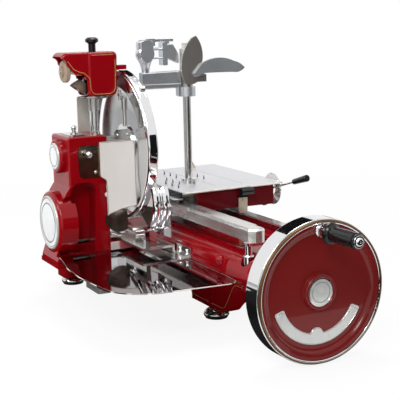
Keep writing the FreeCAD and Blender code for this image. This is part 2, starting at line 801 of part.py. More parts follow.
def drive_chain():
    half = sprocket_width / 2
    return chain_loop("x", (blade_y, cross_z), (blade_y, blade_z), lower_sprocket + mesh_gap,
                      upper_sprocket + mesh_gap,
                      chain_depth, chain_x - half, sprocket_width)


def carriage_drive():
    """Front chain wheel with its bevel pinion, and the idle chain wheel at the back."""
    radius = axle_radius + 2
    reach = wheel_x + wheel_bevel + mesh_gap
    spot = (carriage_bevel_y, wheel_z)
    gear = bevel_gear("x", spot, wheel_x, reach, cross_bevel, bevel_share * wheel_bevel, cross_teeth, 0)
    shaft = rod("x", (reach, spot[0], spot[1]), radius, 40 - reach)
    wheel = sprocket("x", spot, carriage_chain_x, carriage_sprocket, sprocket_width, 13, radius)
    idle_spot = (carriage_chain_far, wheel_z)
    idle_wheel = sprocket("x", idle_spot, carriage_chain_x, carriage_sprocket, sprocket_width, 13, radius)
    idle_shaft = rod("x", (-18, idle_spot[0], idle_spot[1]), radius, 58)
    return fuse(shaft, wheel, gear), fuse(idle_shaft, idle_wheel)


def carriage_chain():
    half = sprocket_width / 2
    return chain_loop("x", (carriage_bevel_y, wheel_z), (carriage_chain_far, wheel_z),
                      carriage_sprocket + mesh_gap,
                      carriage_sprocket + mesh_gap, chain_depth, carriage_chain_x - half, sprocket_width)


def drive_brackets():
    """Two bearing brackets in the base that carry the chain wheels."""
    solids = []
    hole_radius = axle_radius + 2 + run_fit
    for y in (carriage_bevel_y, carriage_chain_far):
        foot = block(-18, 40, y - 14, y + 14, base_low + base_wall, base_low + base_wall + 6)
        right = block(32, 40, y - 14, y + 14, base_low + base_wall + 6, wheel_z + 14)
        left = block(-18, -12, y - 14, y + 14, base_low + base_wall + 6, wheel_z + 14)
        rib = block(-12, 32, y - 14, y - 10, base_low + base_wall + 6, base_low + base_wall + 20)
        shape = fuse(foot, right, left, rib)
        solids.append(shape.cut(rod("x", (-40, y, wheel_z), hole_radius, 100)))
    return solids


def bushes():
    """Plain bearings of the three shafts, and the polished tube round the cross shaft."""
    solids = [tube("y", (wheel_x, y, wheel_z), shaft_radius + 6, shaft_radius + run_fit, length)
              for y, length in ((nose_end - 2, 34), (628, 12))]
    for x, length in ((-base_half, 12), (chain_x + 9, col_right - chain_x - 9), (boss_face + 16, 24)):
        solids.append(tube("x", (x, blade_y, cross_z), 17, cross_radius + run_fit, length))
    for x, length in ((chain_x + 9, col_right - chain_x - 9), (chain_x - 49, 40)):
        solids.append(tube("x", (x, blade_y, blade_z), 24, blade_shaft_radius + run_fit, length))
    solids.append(tube("x", (col_right, blade_y, cross_z), 16, cross_radius + 2, -base_half - col_right))
    return solids


# Rails


def left_rail():
    """Long polished bar with a ridge along its outer edge, and its rounded end."""
    bar = block(rail_left, rail_right, rail_front + 20, rail_rear, rail_low, rail_top)
    bar = bar.makeChamfer(6.0, straight_edges(bar, "y", lambda c: c.z > rail_top - 1 and c.x < rail_left + 1))
    front = rail_front
    steps = [(rail_left, front + 20), (rail_right, front + 20), (rail_right, front - 10),
             ((rail_right - 10, front - 27), (rail_left + 14, front - 26)), (rail_left, front - 14)]
    cap = prism("z", steps, rail_low - 2, rail_top)
    top = [e for e in cap.Edges if e.CenterOfMass.z > rail_top - 0.1 and e.CenterOfMass.y < front + 18]
    return [bar, cap.makeFillet(6.0, top)]


def far_rail():
    """Red beam on the far shoulder of the base, with the black buffer at its front."""
    half = far_rail_half
    beam = block(far_rail_x - half, far_rail_x + half, far_rail_front, rail_rear - 25, base_edge + 10,
                 far_rail_top - 4)
    beam = beam.cut(base_crown_space())
    buffer = block(far_rail_x - 10, far_rail_x + 10, far_rail_front + 1, far_rail_front + 18, far_rail_top,
                   far_rail_top + 9)
    return beam, buffer


def base_crown_space():
    """The solid envelope of the base crown, for parts that are seated on its round shoulder."""
    body = Part.Face(base_section(base_front, base_half, base_low, base_edge, base_top, crown_radius))
    return body.extrude(V(0, base_rear - base_front, 0))


def far_rail_strip():
    half = far_rail_half
    return block(far_rail_x - half, far_rail_x + half, far_rail_front, rail_rear - 25, far_rail_top - 4,
                 far_rail_top)


# Carriage and table


def carriage_frame():
    """Welded frame on rollers, with the slotted finger that the chain drags."""
    under = table_top_z - table_thick - feed_lift
    plate = block(-94, 112, 505, 862, under - 6, under)
    window = block(-40, 64, 590, 790, under - 7, under + 1)
    sides = [block(-52, -46, 520, 850, rail_low + 6, under - 6),
             block(78, 84, 520, 850, far_rail_top + 3, under - 6)]
    ends = [block(-52, 84, y, y + 6, rail_low + 14, under - 6) for y in (520, 844)]
    ways = [block(-70, 100, y, y + 14, under, under + feed_lift - seat_gap) for y in (570, 800)]
    plate = plate.cut(window)
    shape = fuse(plate, *sides, *ends, *ways)
    for y in (roller_front_y, roller_rear_y):
        shape = shape.cut(block(-89, -69, y - 14, y + 14, under - 7, under + 1))
        shape = shape.cut(rod("x", (-60, y, rail_top + roller_radius), axle_radius + run_fit, 20))
    finger = block(lug_x, lug_x + 6, 526, 556, wheel_z + carriage_sprocket - 2, under - 6)
    fork = block(lug_x - 1, lug_x + 7, 536, 546, wheel_z, wheel_z + carriage_sprocket + 6)
    return fuse(shape, finger.cut(fork))


def table_top():
    """Table plate with the short pins that hold the meat."""
    plate = block(table_left, table_right, table_front, table_rear, table_top_z - table_thick, table_top_z)
    plate = softened(plate, "z", 8)
    plate = plate.cut(rod("z", (wing_x, wing_y, table_top_z - table_thick - 1), 4 + run_fit, 10))
    seat = table_top_z - 2
    pin = [(0, seat), (2.4, seat), (2.4, table_top_z), (0.8, table_top_z + 10), (0, table_top_z + 10)]
    rows = ((-75, 73), (-47, 125), (-5, 228), (51, 168))
    spots = [(x, table_front + first + 39 * number) for x, first in rows for number in range(3)]
    spots.append((clamp_x, clamp_y - 31))
    return fuse(plate, *[turned("z", spot, pin) for spot in spots])


def table_apron():
    """Red box under the table, open underneath, clear of the rail."""
    top = table_top_z - table_thick
    rear = table_rear - 8
    step = rail_top + 3
    front = prism("y", [(-56, step), (-46, step), (-46, apron_low), (apron_right, apron_low - 3),
                        (apron_right, top), (-56, top)],
                  490, 490 + apron_wall)
    side = block(apron_right - apron_wall, apron_right, 490, rear, apron_low + 6, top)
    back = block(-56, apron_right, rear - apron_wall, rear, rail_top + 3, top)
    lever_hole = rod("x", (apron_right - 20, lever_y, lever_z), 7 + run_fit, 30)
    lock_hole = rod("y", (lock_x, 480, lock_z), 5 + run_fit, 30)
    return cut(fuse(front, side, back), lever_hole, lock_hole)


def feed_lever():
    """Hub on its spindle with the thin rod of the grip."""
    y, z = lever_y, lever_z
    start = apron_right + 11 + seat_gap
    hub = turned("x", (y, z), [(0, start), (13, start), ((15, start + 7), (13, start + 14)), (0, start + 16)])
    spindle = rod("x", (apron_right - 14, y, z), 7, 14 + 11 + seat_gap)
    arm = Part.makeCylinder(3.0, lever_length, V(start + 8, y, z), lever_aim)
    return fuse(hub, spindle, arm)


def feed_grip():
    foot = V(apron_right + 11 + seat_gap + 8, lever_y, lever_z) + lever_aim * lever_length
    grip = Part.makeCone(7.5, 9.5, 58, foot, lever_aim)
    far_edges = [e for e in grip.Edges if (e.CenterOfMass - foot).Length > 50 and e.isClosed()]
    return grip.makeFillet(3.0, far_edges)


def lock_lever():
    """Flat lever on the front of the apron with a black knob across its top."""
    x, z = lock_x, lock_z
    strap = softened(block(x - 13, x + 13, 483, 486.5, z - 24, z + 29), "y", 5)
    collar = rod("y", (x, 486.5, z), 9, 3.5 - seat_gap)
    pivot = rod("y", (x, 486.5, z), 5, 20)
    knob = rod("x", (x - 11, 474, z + 34), 9, 36)
    neck = block(x - 9, x + 9, 474, 483, z + 26, z + 36)
    return [fuse(strap, collar, pivot), fuse(knob, neck)]


# Meat clamp


def clamp_post():
    """Polished post and its block on the table."""
    post = rod("z", (clamp_x, clamp_y, table_top_z), clamp_post_radius, clamp_post_top - table_top_z)
    foot = softened(block(clamp_x - 17, clamp_x + 17, clamp_y - 20, clamp_y + 20, table_top_z,
                          table_top_z + 13), "z", 8)
    return fuse(post, foot)


def clamp_sleeve():
    """Tall oval casting that slides on the post."""
    x, y = clamp_x, clamp_y
    body = tube("z", (x, y, 553), 17, clamp_post_radius + run_fit, 100)
    face = [(x + 19, 686), ((x + 36, 650), (x + 34, 611)), ((x + 14, 562), (x - 16, 562)),
            ((x - 25, 622), (x - 13, 657)),
            ((x + 2, 676), (x + 19, 686))]
    shield = prism("y", face, y - 27, y - 19)
    neck = block(x - 9, x + 10, y - 20, y - 12, 572, 640)
    tab = block(x + 6, x + 54, y - 14, y - 4, 564, 584)
    bore = rod("z", (x, y, 540), clamp_post_radius + run_fit, 160)
    pin_hole = rod("y", (x + 20, y - 28, 596), 4 + run_fit, 10)
    return cut(fuse(body, shield, neck, tab), bore, pin_hole)


def clamp_arm():
    """Bar over the toothed strip, with its collar under the sleeve and the cast socket at the end."""
    x, y = clamp_x, clamp_y
    bar = prism("y", [(bar_left, bar_low), (x - 22, bar_low - 2), (x - 22, bar_high + 2),
                      (bar_left, bar_high)], y - 13, y + 9)
    bar = softened(bar, "x", 4)
    collar = tube("z", (x, y, 527), 24, clamp_post_radius + run_fit, 25.7)
    web = block(x - 28, x - 20, y - 10, y + 8, 529, bar_high - 4).cut(rod("z", (x, y, 520), 18.5, 100))
    return fuse(bar, collar, web)


def tooth_strip():
    """Toothed strip under the bar that holds the meat."""
    points = [(bar_left + 6, bar_low - 4), (bar_left + 6, bar_low - 8)]
    pitch = 5.5
    count = int((clamp_x - 28 - bar_left - 6) / pitch)
    for number in range(count):
        left = bar_left + 6 + pitch * number
        points.append((left + pitch / 2, bar_low - 12))
        points.append((left + pitch, bar_low - 8))
    points.append((bar_left + 6 + pitch * count, bar_low - 4))
    points.append((bar_left + 6 + pitch * count, bar_low + 6))
    points.append((bar_left + 6, bar_low + 6))
    strip = prism("y", points, clamp_y - 9, clamp_y - 6)
    return strip.cut(clamp_arm())


def clamp_handle():
    """Leaf-shaped lever that locks the sleeve on its post."""
    x, y = clamp_x, clamp_y - 27.3
    leaf = [(x + 28, 611), ((x + 88, 627), (x + 127, 617)), ((x + 152, 606), (x + 161, 598)),
            ((x + 152, 591), (x + 126, 587)),
            ((x + 76, 588), (x + 40, 588)), (x + 14, 578), (x + 8, 588)]
    leaf_part = prism("y", leaf, y - 9, y)
    pin = rod("y", (x + 20, y, 596), 4, 6.5)
    return fuse(leaf_part, pin)


def sharpener_collar():
    """Knurled collar that turns on the post, with the round flange that carries the head."""
    profile = [(8 + run_fit, sharp_low - 78), (11, sharp_low - 78), (11, sharp_low - 38),
               (16, sharp_low - 38),
               (16, sharp_low - 7), (32, sharp_low - 6), (34, sharp_low - 3), (34, sharp_low), (0, sharp_low),
               (0, sharp_low - 35.7), (8 + run_fit, sharp_low - 35.7)]
    return turned("z", (sharp_x, sharp_y), profile)


def sharpener_cover():
    """Red hood over the grinding wheels: a rounded box with a slanted wing, open to the left and below."""
    top, low = cover_top, sharp_low
    front, rear = sharp_y - 34, sharp_y + 44

    def slant(inset):
        """What is cut off in front of the wing, or of the room inside it."""
        return prism("z", [(-289, front + inset - 10), (-289, front + inset + 3), (-380, front + inset + 12),
                           (-380, front + inset - 10)], low - 10, top + 10)

    box_side = [(-298, top), (-229, top), ((-219, top - 4), (-216, top - 14)), (-219, low + 12),
                ((-224, low + 3), (-234, low)), (-290, low), ((-297, low + 4), (-298, low + 12))]
    box = prism("y", box_side, front, rear)
    box = box.makeFillet(8.0, [e for e in box.Edges if abs(e.CenterOfMass.y - front) < 0.2])
    wing_side = [(-290, top), (-290, low + 40), (-303, low + 44), ((-306, low + 54), (-314, low + 57)),
                 (-331, low + 57), (-351, low + 82), ((-358, low + 96), (-365, top - 14)),
                 ((-357, top - 3), (-345, top))]
    wing = prism("y", wing_side, front, rear).cut(slant(0))
    wing = wing.makeFillet(6.0, [e for e in wing.Edges if abs(e.CenterOfMass.z - top) < 0.5
                                 and 3 < e.BoundBox.YLength < 40 and e.BoundBox.XLength > 5])
    room = [(-317, top - 7), (-230, top - 7), (-223, top - 14), (-226, low + 12), (-236, low + 7),
            (-286, low + 7), (-291, low + 20), (-292, low + 52), (-312, low + 66), (-327, low + 66),
            (-345, low + 86), (-351, top - 10)]
    hollow = prism("y", room, front + 6, rear - 6).cut(slant(6))
    mouth = block(-380, -330, front + 6, rear - 6, low + 40, top - 10).cut(slant(6))
    under = block(-335, -294, front + 6, rear - 6, low + 20, low + 80)
    under = under.fuse(block(-320, -264, front + 6, rear - 6, low - 1, low + 62)).cut(slant(6))
    head = block(-217, -188, sharp_y - 24, sharp_y + 4, low + 65.5, low + 77)
    stem_way = rod("z", (sharp_x, sharp_y, top - 10), knob_stem + run_fit, 20)
    wheel_room = rod("x", (-361, sharp_y + 5, grind_z), 28.8, 24)
    return cut(fuse(cut(fuse(box, wing), hollow, mouth, under), head), stem_way, wheel_room)


def sharpener_knob():
    """Black push knob that brings the wheels down on the blade."""
    top = cover_top
    profile = [(0, top - 12), (knob_stem, top - 12), (knob_stem, top + 20), (13, top + 23), (17, top + 25),
               (17, top + 31),
               ((14, top + 34), (pole_flat, top + 35)), (0, top + 35)]
    return turned("z", (sharp_x, sharp_y), profile)


def grinding_wheel():
    profile = [(5 + run_fit, -358), (12, -358), (12, -353), (26, -353), (28, -351), (28, -342), (26, -340),
               (5 + run_fit, -340)]
    return turned("x", (sharp_y + 5, grind_z), profile)


def grinding_carrier():
    """Inner bracket with the two spindles of the grinding wheels."""
    y = sharp_y + 5
    plate = block(-318, -310, y - 26, sharp_y + 38, grind_z - 10, 640)
    arm = block(-310, -230, sharp_y + 32, sharp_y + 38, sharp_low + 80, 640)
    spindle = rod("x", (-362, y, grind_z), 5, 44)
    bridge = block(-310, -262, y - 26, sharp_y + 32, sharp_low + 80, sharp_low + 88)
    lean = Part.makeCylinder(4, 78, V(*cup_centre), cup_aim)
    return fuse(plate, arm, spindle, bridge, lean)


def cup_wheel():
    """Flared cup-shaped stone, leaning towards the blade's edge."""
    profile = [(4 + run_fit, 24), (12, 24), (21, 8), (24, 0), (20, 0), (17, 8), (10, 18), (4 + run_fit, 18)]
    cup = turned("z", (0, 0), profile)
    placement = FreeCAD.Placement(V(*cup_centre), FreeCAD.Rotation(V(0, 0, 1), cup_aim))
    return cup.transformed(placement.toMatrix())


def ring_fittings():
    """Dark rods and levers on the ring that carry the deburring stone."""
    x = ring_face - ring_width - 2
    y = blade_y - 70
    lower = rod("z", (-209, y, 462), 6, 42)
    upper = rod("z", (-209, y, 504), 8, 30)
    arm = block(-215, x, y - 10, y + 10, 534, 542)
    second = rod("z", (-221, y, 530), 4, 26)
    tie = block(-225, -209, y - 6, y + 6, 540, 546)
    return fuse(lower, upper, arm, second, tie)


# Slice tray


def slice_tray():
    steps = [(-401, 597), (tray_right, 597), (tray_right, 170), ((tray_right - 7, 148), (-157, 138)),
             (-292, 152),
             ((-383, 181), (-424, 290)), ((-430, 395), (-401, 597))]
    return prism("z", steps, tray_top - tray_thick, tray_top)


def tray_pad():
    """Grey support block under the outer side of the tray, on a thin arm from the base."""
    pad = softened(block(-405, -355, 324, 410, 104, tray_top - tray_thick), "z", 8)
    arm = block(-360, -base_half + 6, 350, 372, 104, 112)
    return fuse(pad, arm).cut(base_crown_space())


def nose_solid(inset):
    """The snout between the body and the wheel's bearing; inset gives the room inside it."""
    if inset == 0.0:
        sections = [base_section(base_front, base_half, base_low, base_edge, base_top, crown_radius),
                    base_section(130, base_half - 11, base_low + 2, base_edge + 1, base_top - 5,
                                 crown_radius - 4, -5),
                    base_section(30, base_half - 56, base_low + 11, base_edge + 12, base_top - 3,
                                 crown_radius - 10, -49),
                    base_section(nose_end, nose_radius, wheel_z - nose_radius, wheel_z, wheel_z + nose_radius,
                                 nose_radius * 0.85, wheel_x)]
    else:
        sections = [base_section(base_front, base_half - inset, base_low + inset, base_edge + 2,
                                 base_top - inset,
                                 crown_radius - inset),
                    base_section(130, base_half - 23, base_low + 14, base_edge, base_top - 17,
                                 crown_radius - 14, -5),
                    base_section(30, base_half - 68, base_low + 23, base_edge + 10, base_top - 15,
                                 crown_radius - 22, -49)]
    return Part.makeLoft(sections, True, True)


def fixed_screws():
    """Round-headed screws of the plates that stay put."""
    screws = []
    face = col_front - 3
    screws.append(screw_head("y", (-293, 348), 4.5, face, -2.6))
    for x in (-223, -195):
        screws.append(screw_head("y", (x, 438), 4, col_front + 6, -2.6))
    for y in (414, 452):
        face = -base_half - 3
        screws.append(screw_head("x", (y, tray_top + 15), 5.5, face, -2.8))
    return screws


def brackets():
    """Small grey plate beside the column's top, and the angle that carries the tray and the ledge."""
    face = col_front + 6
    plate = softened(block(-232, -187, face, face + 3, 424, 452), "y", 6)
    tie = block(col_right, -225, face, face + 3, 424, 438)
    upright = softened(block(-base_half - 3, -base_half, 394, 472, tray_top, 165), "x", 4,
                       lambda c: c.z > 160)
    foot = block(-base_half - 40, -base_half, 394, 472, tray_top, tray_top + 3)
    return [fuse(plate, tie), fuse(upright, foot)]


def rail_posts():
    """Turned front post in its socket, and the plain rear support."""
    x, y = post_x, post_y
    post = [(0, post_base - 12), (post_radius, post_base - 12), (post_radius, rail_low - 10),
            (post_radius + 3, rail_low - 2), (0, rail_low - 2)]
    socket = [(post_radius, post_base), (16.5, post_base), (16.5, post_base + 2.5),
              ((13.5, post_base + 4), (12.5, post_base + 8)),
              (12.5, 188), ((12, 191), (post_radius, 192))]
    front = turned("z", (x, y), post)
    collar = turned("z", (x, y), socket)
    rear = block(rail_left + 8, rail_right - 8, rail_rear - 60, rail_rear - 26, base_top - 40, rail_low)
    return [front, collar, rear.cut(base_crown_space())]


def near_roller(y):
    z = rail_top + roller_radius
    wheel = rod("x", (-86, y, z), roller_radius - 0.1, roller_width)
    axle = rod("x", (-72, y, z), axle_radius, 30)
    cap = rod("x", (-90, y, z), axle_radius + 2, 4)
    return fuse(wheel, axle, cap)


def far_shoe():
    """Sliding shoe that runs over the strip of the far rail."""
    solids = []
    for y in (540, 800):
        solids.append(block(84, far_rail_x + 12, y, y + 30, far_rail_top + seat_gap, far_rail_top + 12))
    return solids


def table_fittings():
    """Polished round plate behind the feed lever, and the small knob at the back of the table."""
    spot = (lever_y, lever_z)
    bore = 7 + run_fit
    disc = turned("x", spot, [(bore, apron_right), (44, apron_right), (44, apron_right + 4),
                              ((38, apron_right + 9),
                              (20, apron_right + 11)), (bore, apron_right + 11)])
    disc = disc.cut(block(apron_right - 1, apron_right + 20, 400, 800, table_top_z - table_thick, 400))
    top = table_top_z
    knob = turned("z", (table_left + 22, table_rear - 40),
                  [(0, top), (10, top), (10, top + 8), (6, top + 9), (6, top + 13), (11, top + 14),
                   (11, top + 26),
                   ((8, top + 29), (pole_flat, top + 30)), (0, top + 30)])
    return [disc, knob]


def clamp_arm_fittings():
    """Cast socket on the free end of the bar with its plate, wedge and slat."""
    x = bar_left + 14
    y = clamp_y
    low = bar_high
    socket = turned("z", (x, y - 2), [(0, low), (10, low), ((12, low + 14), (22, low + 36)),
                                      ((25, low + 46), (23, low + 60)),
                                     (23, low + 78), ((20, low + 81), (pole_flat, low + 82)), (0, low + 82)])
    socket = socket.common(block(x - 30, x + 30, y - 18, y + 14, low, low + 90))
    slat = softened(block(x + 22, clamp_x - 38, y - 4, y + 2, 673, 682), "x", 2)
    link = block(x + 4, x + 28, y - 6, y + 4, 663, 682)
    plate = softened(block(-88, -74, y - 14, y + 12, 612, 672), "y", 3)
    rods = [rod("x", (x + 18, y, 655), 4, -88 - x - 18), rod("x", (x + 18, y, 631), 2.5, -88 - x - 18)]
    wedge = prism("y", [(-74, 664), (-56, 666), (clamp_x - 26, 640), (clamp_x - 26, 616), (-74, 631)],
                  y - 10, y + 8)
    head = block(-76, -64, y - 4, y + 2, 668, 674)
    return fuse(socket, slat, link, plate, *rods, wedge, head)


def wing_lever():
    """Wing screw at the back of the table."""
    x, y = wing_x, wing_y
    hub = [(0, table_top_z + seat_gap), (9, table_top_z + seat_gap), (7, table_top_z + 8),
           (0, table_top_z + 8)]
    stem = rod("z", (x, y, table_top_z - table_thick - 3), 4, table_thick + 5)
    wing = prism("y", [(x - 4, table_top_z + 7), ((x - 24, table_top_z + 16), (x - 26, table_top_z + 26)),
                       ((x - 14, table_top_z + 26), (x + 4, table_top_z + 8))], y - 2, y + 2)
    return fuse(turned("z", (x, y), hub), stem, wing)


# Every sub-part under its own name

carriage_sprocket_shaft, idler_shaft = carriage_drive()
far_beam, far_buffer = far_rail()

nodes = {
    "base_casting": [base_casting()],
    "base_floor_plate": [base_floor()],
    "feet": feet(),
    "column_casting": [column_casting()],
    "column_fittings": column_cap(),
    "column_badges": [badge(boss_z, boss_face, 70), badge(upper_boss_z, upper_boss_face, 35)],
    "slice_deflector": [deflector()],
    "deflector_plate": [deflector_plate()],
    "latch_knob": [latch_knob()],
    "inner_guard": [inner_guard()],
    "steel_brackets": brackets(),
    "fixed_screws": fixed_screws(),
    "blade": [blade()],
    "blade_hub": blade_hub(),
    "blade_shaft": [blade_shaft()],
    "blade_ring": [blade_ring()],
    "ring_fittings": [ring_fittings()],
    "lower_guard": [lower_guard()],
    "guard_ledge": [guard_ledge()],
    "wheel_rim": [wheel_rim()],
    "wheel_disc": [wheel_disc()],
    "wheel_badge": [hub_badge()],
    "wheel_plate": [arc_plate(), *arc_plate_rivets()],
    "wheel_shaft": [fuse(wheel_shaft(), *wheel_bevels())],
    "crank_pin": [crank_pin()],
    "crank_grip": [crank_grip()],
    "bearings": bushes(),
    "cross_shaft": [cross_group()],
    "drive_chain": [drive_chain()],
    "carriage_sprocket": [carriage_sprocket_shaft],
    "idler_sprocket": [idler_shaft],
    "carriage_chain": [carriage_chain()],
    "sprocket_brackets": drive_brackets(),
    "near_rail": left_rail(),
    "rail_posts": rail_posts(),
    "far_rail": [far_beam, far_buffer],
    "far_rail_strip": [far_rail_strip()],
    "carriage_frame": [carriage_frame()],
    "near_roller_front": [near_roller(roller_front_y)],
    "near_roller_rear": [near_roller(roller_rear_y)],
    "far_shoes": far_shoe(),
    "table_top": [table_top()],
    "table_apron": [table_apron()],
    "table_fittings": table_fittings(),
    "feed_lever": [feed_lever()],
    "feed_grip": [feed_grip()],
    "lock_lever": lock_lever(),
    "wing_lever": [wing_lever()],
    "clamp_post": [clamp_post()],
    "clamp_sleeve": [clamp_sleeve()],
    "clamp_arm": [fuse(clamp_arm(), clamp_arm_fittings()), tooth_strip()],
    "clamp_handle": [clamp_handle()],
    "sharpener_collar": [sharpener_collar()],
    "sharpener_cover": [sharpener_cover()],
    "sharpener_knob": [sharpener_knob()],
    "grinding_carrier": [grinding_carrier()],
    "grinding_wheel": [grinding_wheel()],
    "cup_wheel": [cup_wheel()],
    "slice_tray": [slice_tray()],
    "tray_pad": [tray_pad()],
}

everything = Part.makeCompound([solid for solids in nodes.values() for solid in solids])
box = everything.optimalBoundingBox(False, False)
shift = V(-box.Center.x, -box.Center.y, -box.ZMin)

os.makedirs("parts", exist_ok=True)
for name, solids in nodes.items():
    shape = solids[0] if len(solids) == 1 else Part.makeCompound(solids)
    shape = shape.copy()
    shape.translate(shift)
    shape.exportStep("parts/" + name + ".step")
    print(name, len(shape.Solids), "valid" if shape.isValid() else "INVALID", round(shape.Volume / 1000, 2),
          "cm3")

places = {
    "wheel": (wheel_x, wheel_front, wheel_z),
    "grip": (wheel_x, wheel_front - ferrule_length, wheel_z + crank_radius),
    "cross": (chain_x, blade_y, cross_z),
    "blade": (blade_edge_x, blade_y, blade_z),
    "sprocket": (carriage_chain_x, carriage_bevel_y, wheel_z),
    "idler": (carriage_chain_x, carriage_chain_far, wheel_z),
    "roller_front": (-79.0, roller_front_y, rail_top + roller_radius),
    "roller_rear": (-79.0, roller_rear_y, rail_top + roller_radius),
    "feed_lever": (apron_right, lever_y, lever_z),
    "lock_lever": (lock_x, 490.0, lock_z),
    "wing": (wing_x, wing_y, table_top_z),
    "clamp": (clamp_x, clamp_y, 553.0),
    "clamp_handle": (clamp_x + 20, clamp_y - 27, 596.0),
    "sharpener": (sharp_x, sharp_y, sharp_low),
    "grinding": (-349.0, sharp_y + 5, grind_z),
    "cup": cup_centre,
    "cup_aim": tuple(cup_aim),
    "latch": (latch_x, col_front, latch_z),
    "carriage": (0.0, 680.0, table_top_z),
}
for name, point in places.items():
    moved = V(*point) if name == "cup_aim" else V(*point) + shift
    print("place", name, round(moved.x, 4), round(moved.y, 4), round(moved.z, 4))
print("nodes", len(nodes))
print("shift", round(shift.x, 3), round(shift.y, 3), round(shift.z, 3))
print("size", round(box.XLength, 1), round(box.YLength, 1), round(box.ZLength, 1))
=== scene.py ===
# %% [markdown]
# A hand cranked slicer in Blender
#
# The construction model already holds every part at its real size and place. This lesson gives
# those parts their finishes, adds the small things that a construction model leaves out, and
# sets up a plain studio round them. Lengths are in metres, +Z is up, and the operator stands
# on the -Y side, where the flywheel is.

# %% Load the fixed frame
import math

import bmesh
import bpy
from mathutils import Matrix, Vector
from mathutils.bvhtree import BVHTree


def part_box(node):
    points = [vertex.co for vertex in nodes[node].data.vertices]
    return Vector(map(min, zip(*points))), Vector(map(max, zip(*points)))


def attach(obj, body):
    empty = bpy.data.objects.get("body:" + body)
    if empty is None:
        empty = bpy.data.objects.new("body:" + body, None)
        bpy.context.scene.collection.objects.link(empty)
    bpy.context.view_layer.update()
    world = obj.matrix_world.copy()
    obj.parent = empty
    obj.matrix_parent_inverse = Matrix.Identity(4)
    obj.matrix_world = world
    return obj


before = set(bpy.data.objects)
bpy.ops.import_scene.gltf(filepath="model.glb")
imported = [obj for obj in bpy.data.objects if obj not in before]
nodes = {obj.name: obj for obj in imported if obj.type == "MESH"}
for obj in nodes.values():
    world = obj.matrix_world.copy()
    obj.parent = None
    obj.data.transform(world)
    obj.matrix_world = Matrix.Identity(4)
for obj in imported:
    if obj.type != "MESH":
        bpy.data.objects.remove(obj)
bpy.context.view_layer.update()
MM = 0.001

# %% [markdown]
# Finishes
#
# Every finish on this machine is one principled shader whose colour and roughness wander a
# little, as enamel, chrome and castings do. One function builds them all: a noise on object
# coordinates drives a colour ramp and a roughness range, and dents the surface slightly.
# The stretch of the noise is what tells brushed steel from paint: long cells along the grain,
# short ones across it.

# %% The finish builder
finishes = {}


def noise_on(tree, stretch, detail, seed_shift):
    """A noise on object coordinates; stretch holds its cells per metre along x, y and z."""
    where = tree.nodes.new("ShaderNodeTexCoord")
    cells = tree.nodes.new("ShaderNodeMapping")
    cells.inputs["Scale"].default_value = stretch
    cells.inputs["Location"].default_value = (seed_shift, seed_shift, seed_shift)
    noise = tree.nodes.new("ShaderNodeTexNoise")
    noise.inputs["Scale"].default_value = 1.0
    noise.inputs["Detail"].default_value = detail
    tree.links.new(where.outputs["Object"], cells.inputs["Vector"])
    tree.links.new(cells.outputs["Vector"], noise.inputs["Vector"])
    return noise.outputs["Fac"]


def spread(tree, value, low, high):
    """Maps the middle of a noise onto a range."""
    scale = tree.nodes.new("ShaderNodeMapRange")
    scale.inputs["From Min"].default_value = 0.3
    scale.inputs["From Max"].default_value = 0.7
    scale.inputs["To Min"].default_value = low
    scale.inputs["To Max"].default_value = high
    tree.links.new(value, scale.inputs["Value"])
    return scale.outputs["Result"]


def between(tree, value, colour_a, colour_b):
    """Mixes two colours by a value."""
    ramp = tree.nodes.new("ShaderNodeValToRGB")
    ramp.color_ramp.elements[0].color = (*colour_a, 1)
    ramp.color_ramp.elements[1].color = (*colour_b, 1)
    ramp.color_ramp.elements[0].position = 0.3
    ramp.color_ramp.elements[1].position = 0.7
    tree.links.new(value, ramp.inputs["Fac"])
    return ramp.outputs["Color"]


def finish(name, colour, roughness, metallic=0.0, coat=0.0, tint=0.08, rough_range=0.05,
           cells=(40, 40, 40), grain=(900, 900, 900), dent=0.05, dent_depth=0.0002, shine=0.5):
    """One finish; tint is how far its colour wanders, dent how much the fine grain shows."""
    material = bpy.data.materials.new(name)
    material.use_nodes = True
    tree = material.node_tree
    shader = tree.nodes["Principled BSDF"]
    shader.inputs["Metallic"].default_value = metallic
    shader.inputs["Coat Weight"].default_value = coat
    shader.inputs["Specular IOR Level"].default_value = shine
    shader.inputs["Coat Roughness"].default_value = 0.02
    slow = noise_on(tree, cells, 4, 0.3)
    fine = noise_on(tree, grain, 2, 7.1)
    darker = [part * (1 - tint) for part in colour]
    lighter = [min(1.0, part * (1 + tint)) for part in colour]
    tree.links.new(between(tree, slow, darker, lighter), shader.inputs["Base Color"])
    low = max(0.0, roughness - rough_range)
    tree.links.new(spread(tree, slow, low, roughness + rough_range), shader.inputs["Roughness"])
    bump = tree.nodes.new("ShaderNodeBump")
    bump.inputs["Strength"].default_value = dent
    bump.inputs["Distance"].default_value = dent_depth
    tree.links.new(fine, bump.inputs["Height"])
    tree.links.new(bump.outputs["Normal"], shader.inputs["Normal"])
    finishes[name] = material
    return material


# %% Paints
finish("red_enamel", (0.25, 0.0008, 0.004), 0.20, coat=0.45, tint=0.05, rough_range=0.03,
       cells=(9, 9, 9), grain=(260, 260, 260), dent=0.015, shine=0.10)
finish("wheel_enamel", (0.15, 0.006, 0.005), 0.30, coat=0.35, tint=0.07, rough_range=0.04,
       cells=(7, 7, 7), grain=(260, 260, 260), dent=0.03, shine=0.2)
finish("dark_red_enamel", (0.11, 0.003, 0.006), 0.26, coat=0.5, tint=0.10, rough_range=0.04,
       cells=(9, 9, 9), grain=(260, 260, 260), dent=0.03, shine=0.15)
finish("gold_line", (0.50, 0.30, 0.07), 0.35, metallic=0.5, coat=0.4, tint=0.15)
print("paints:", len(finishes))

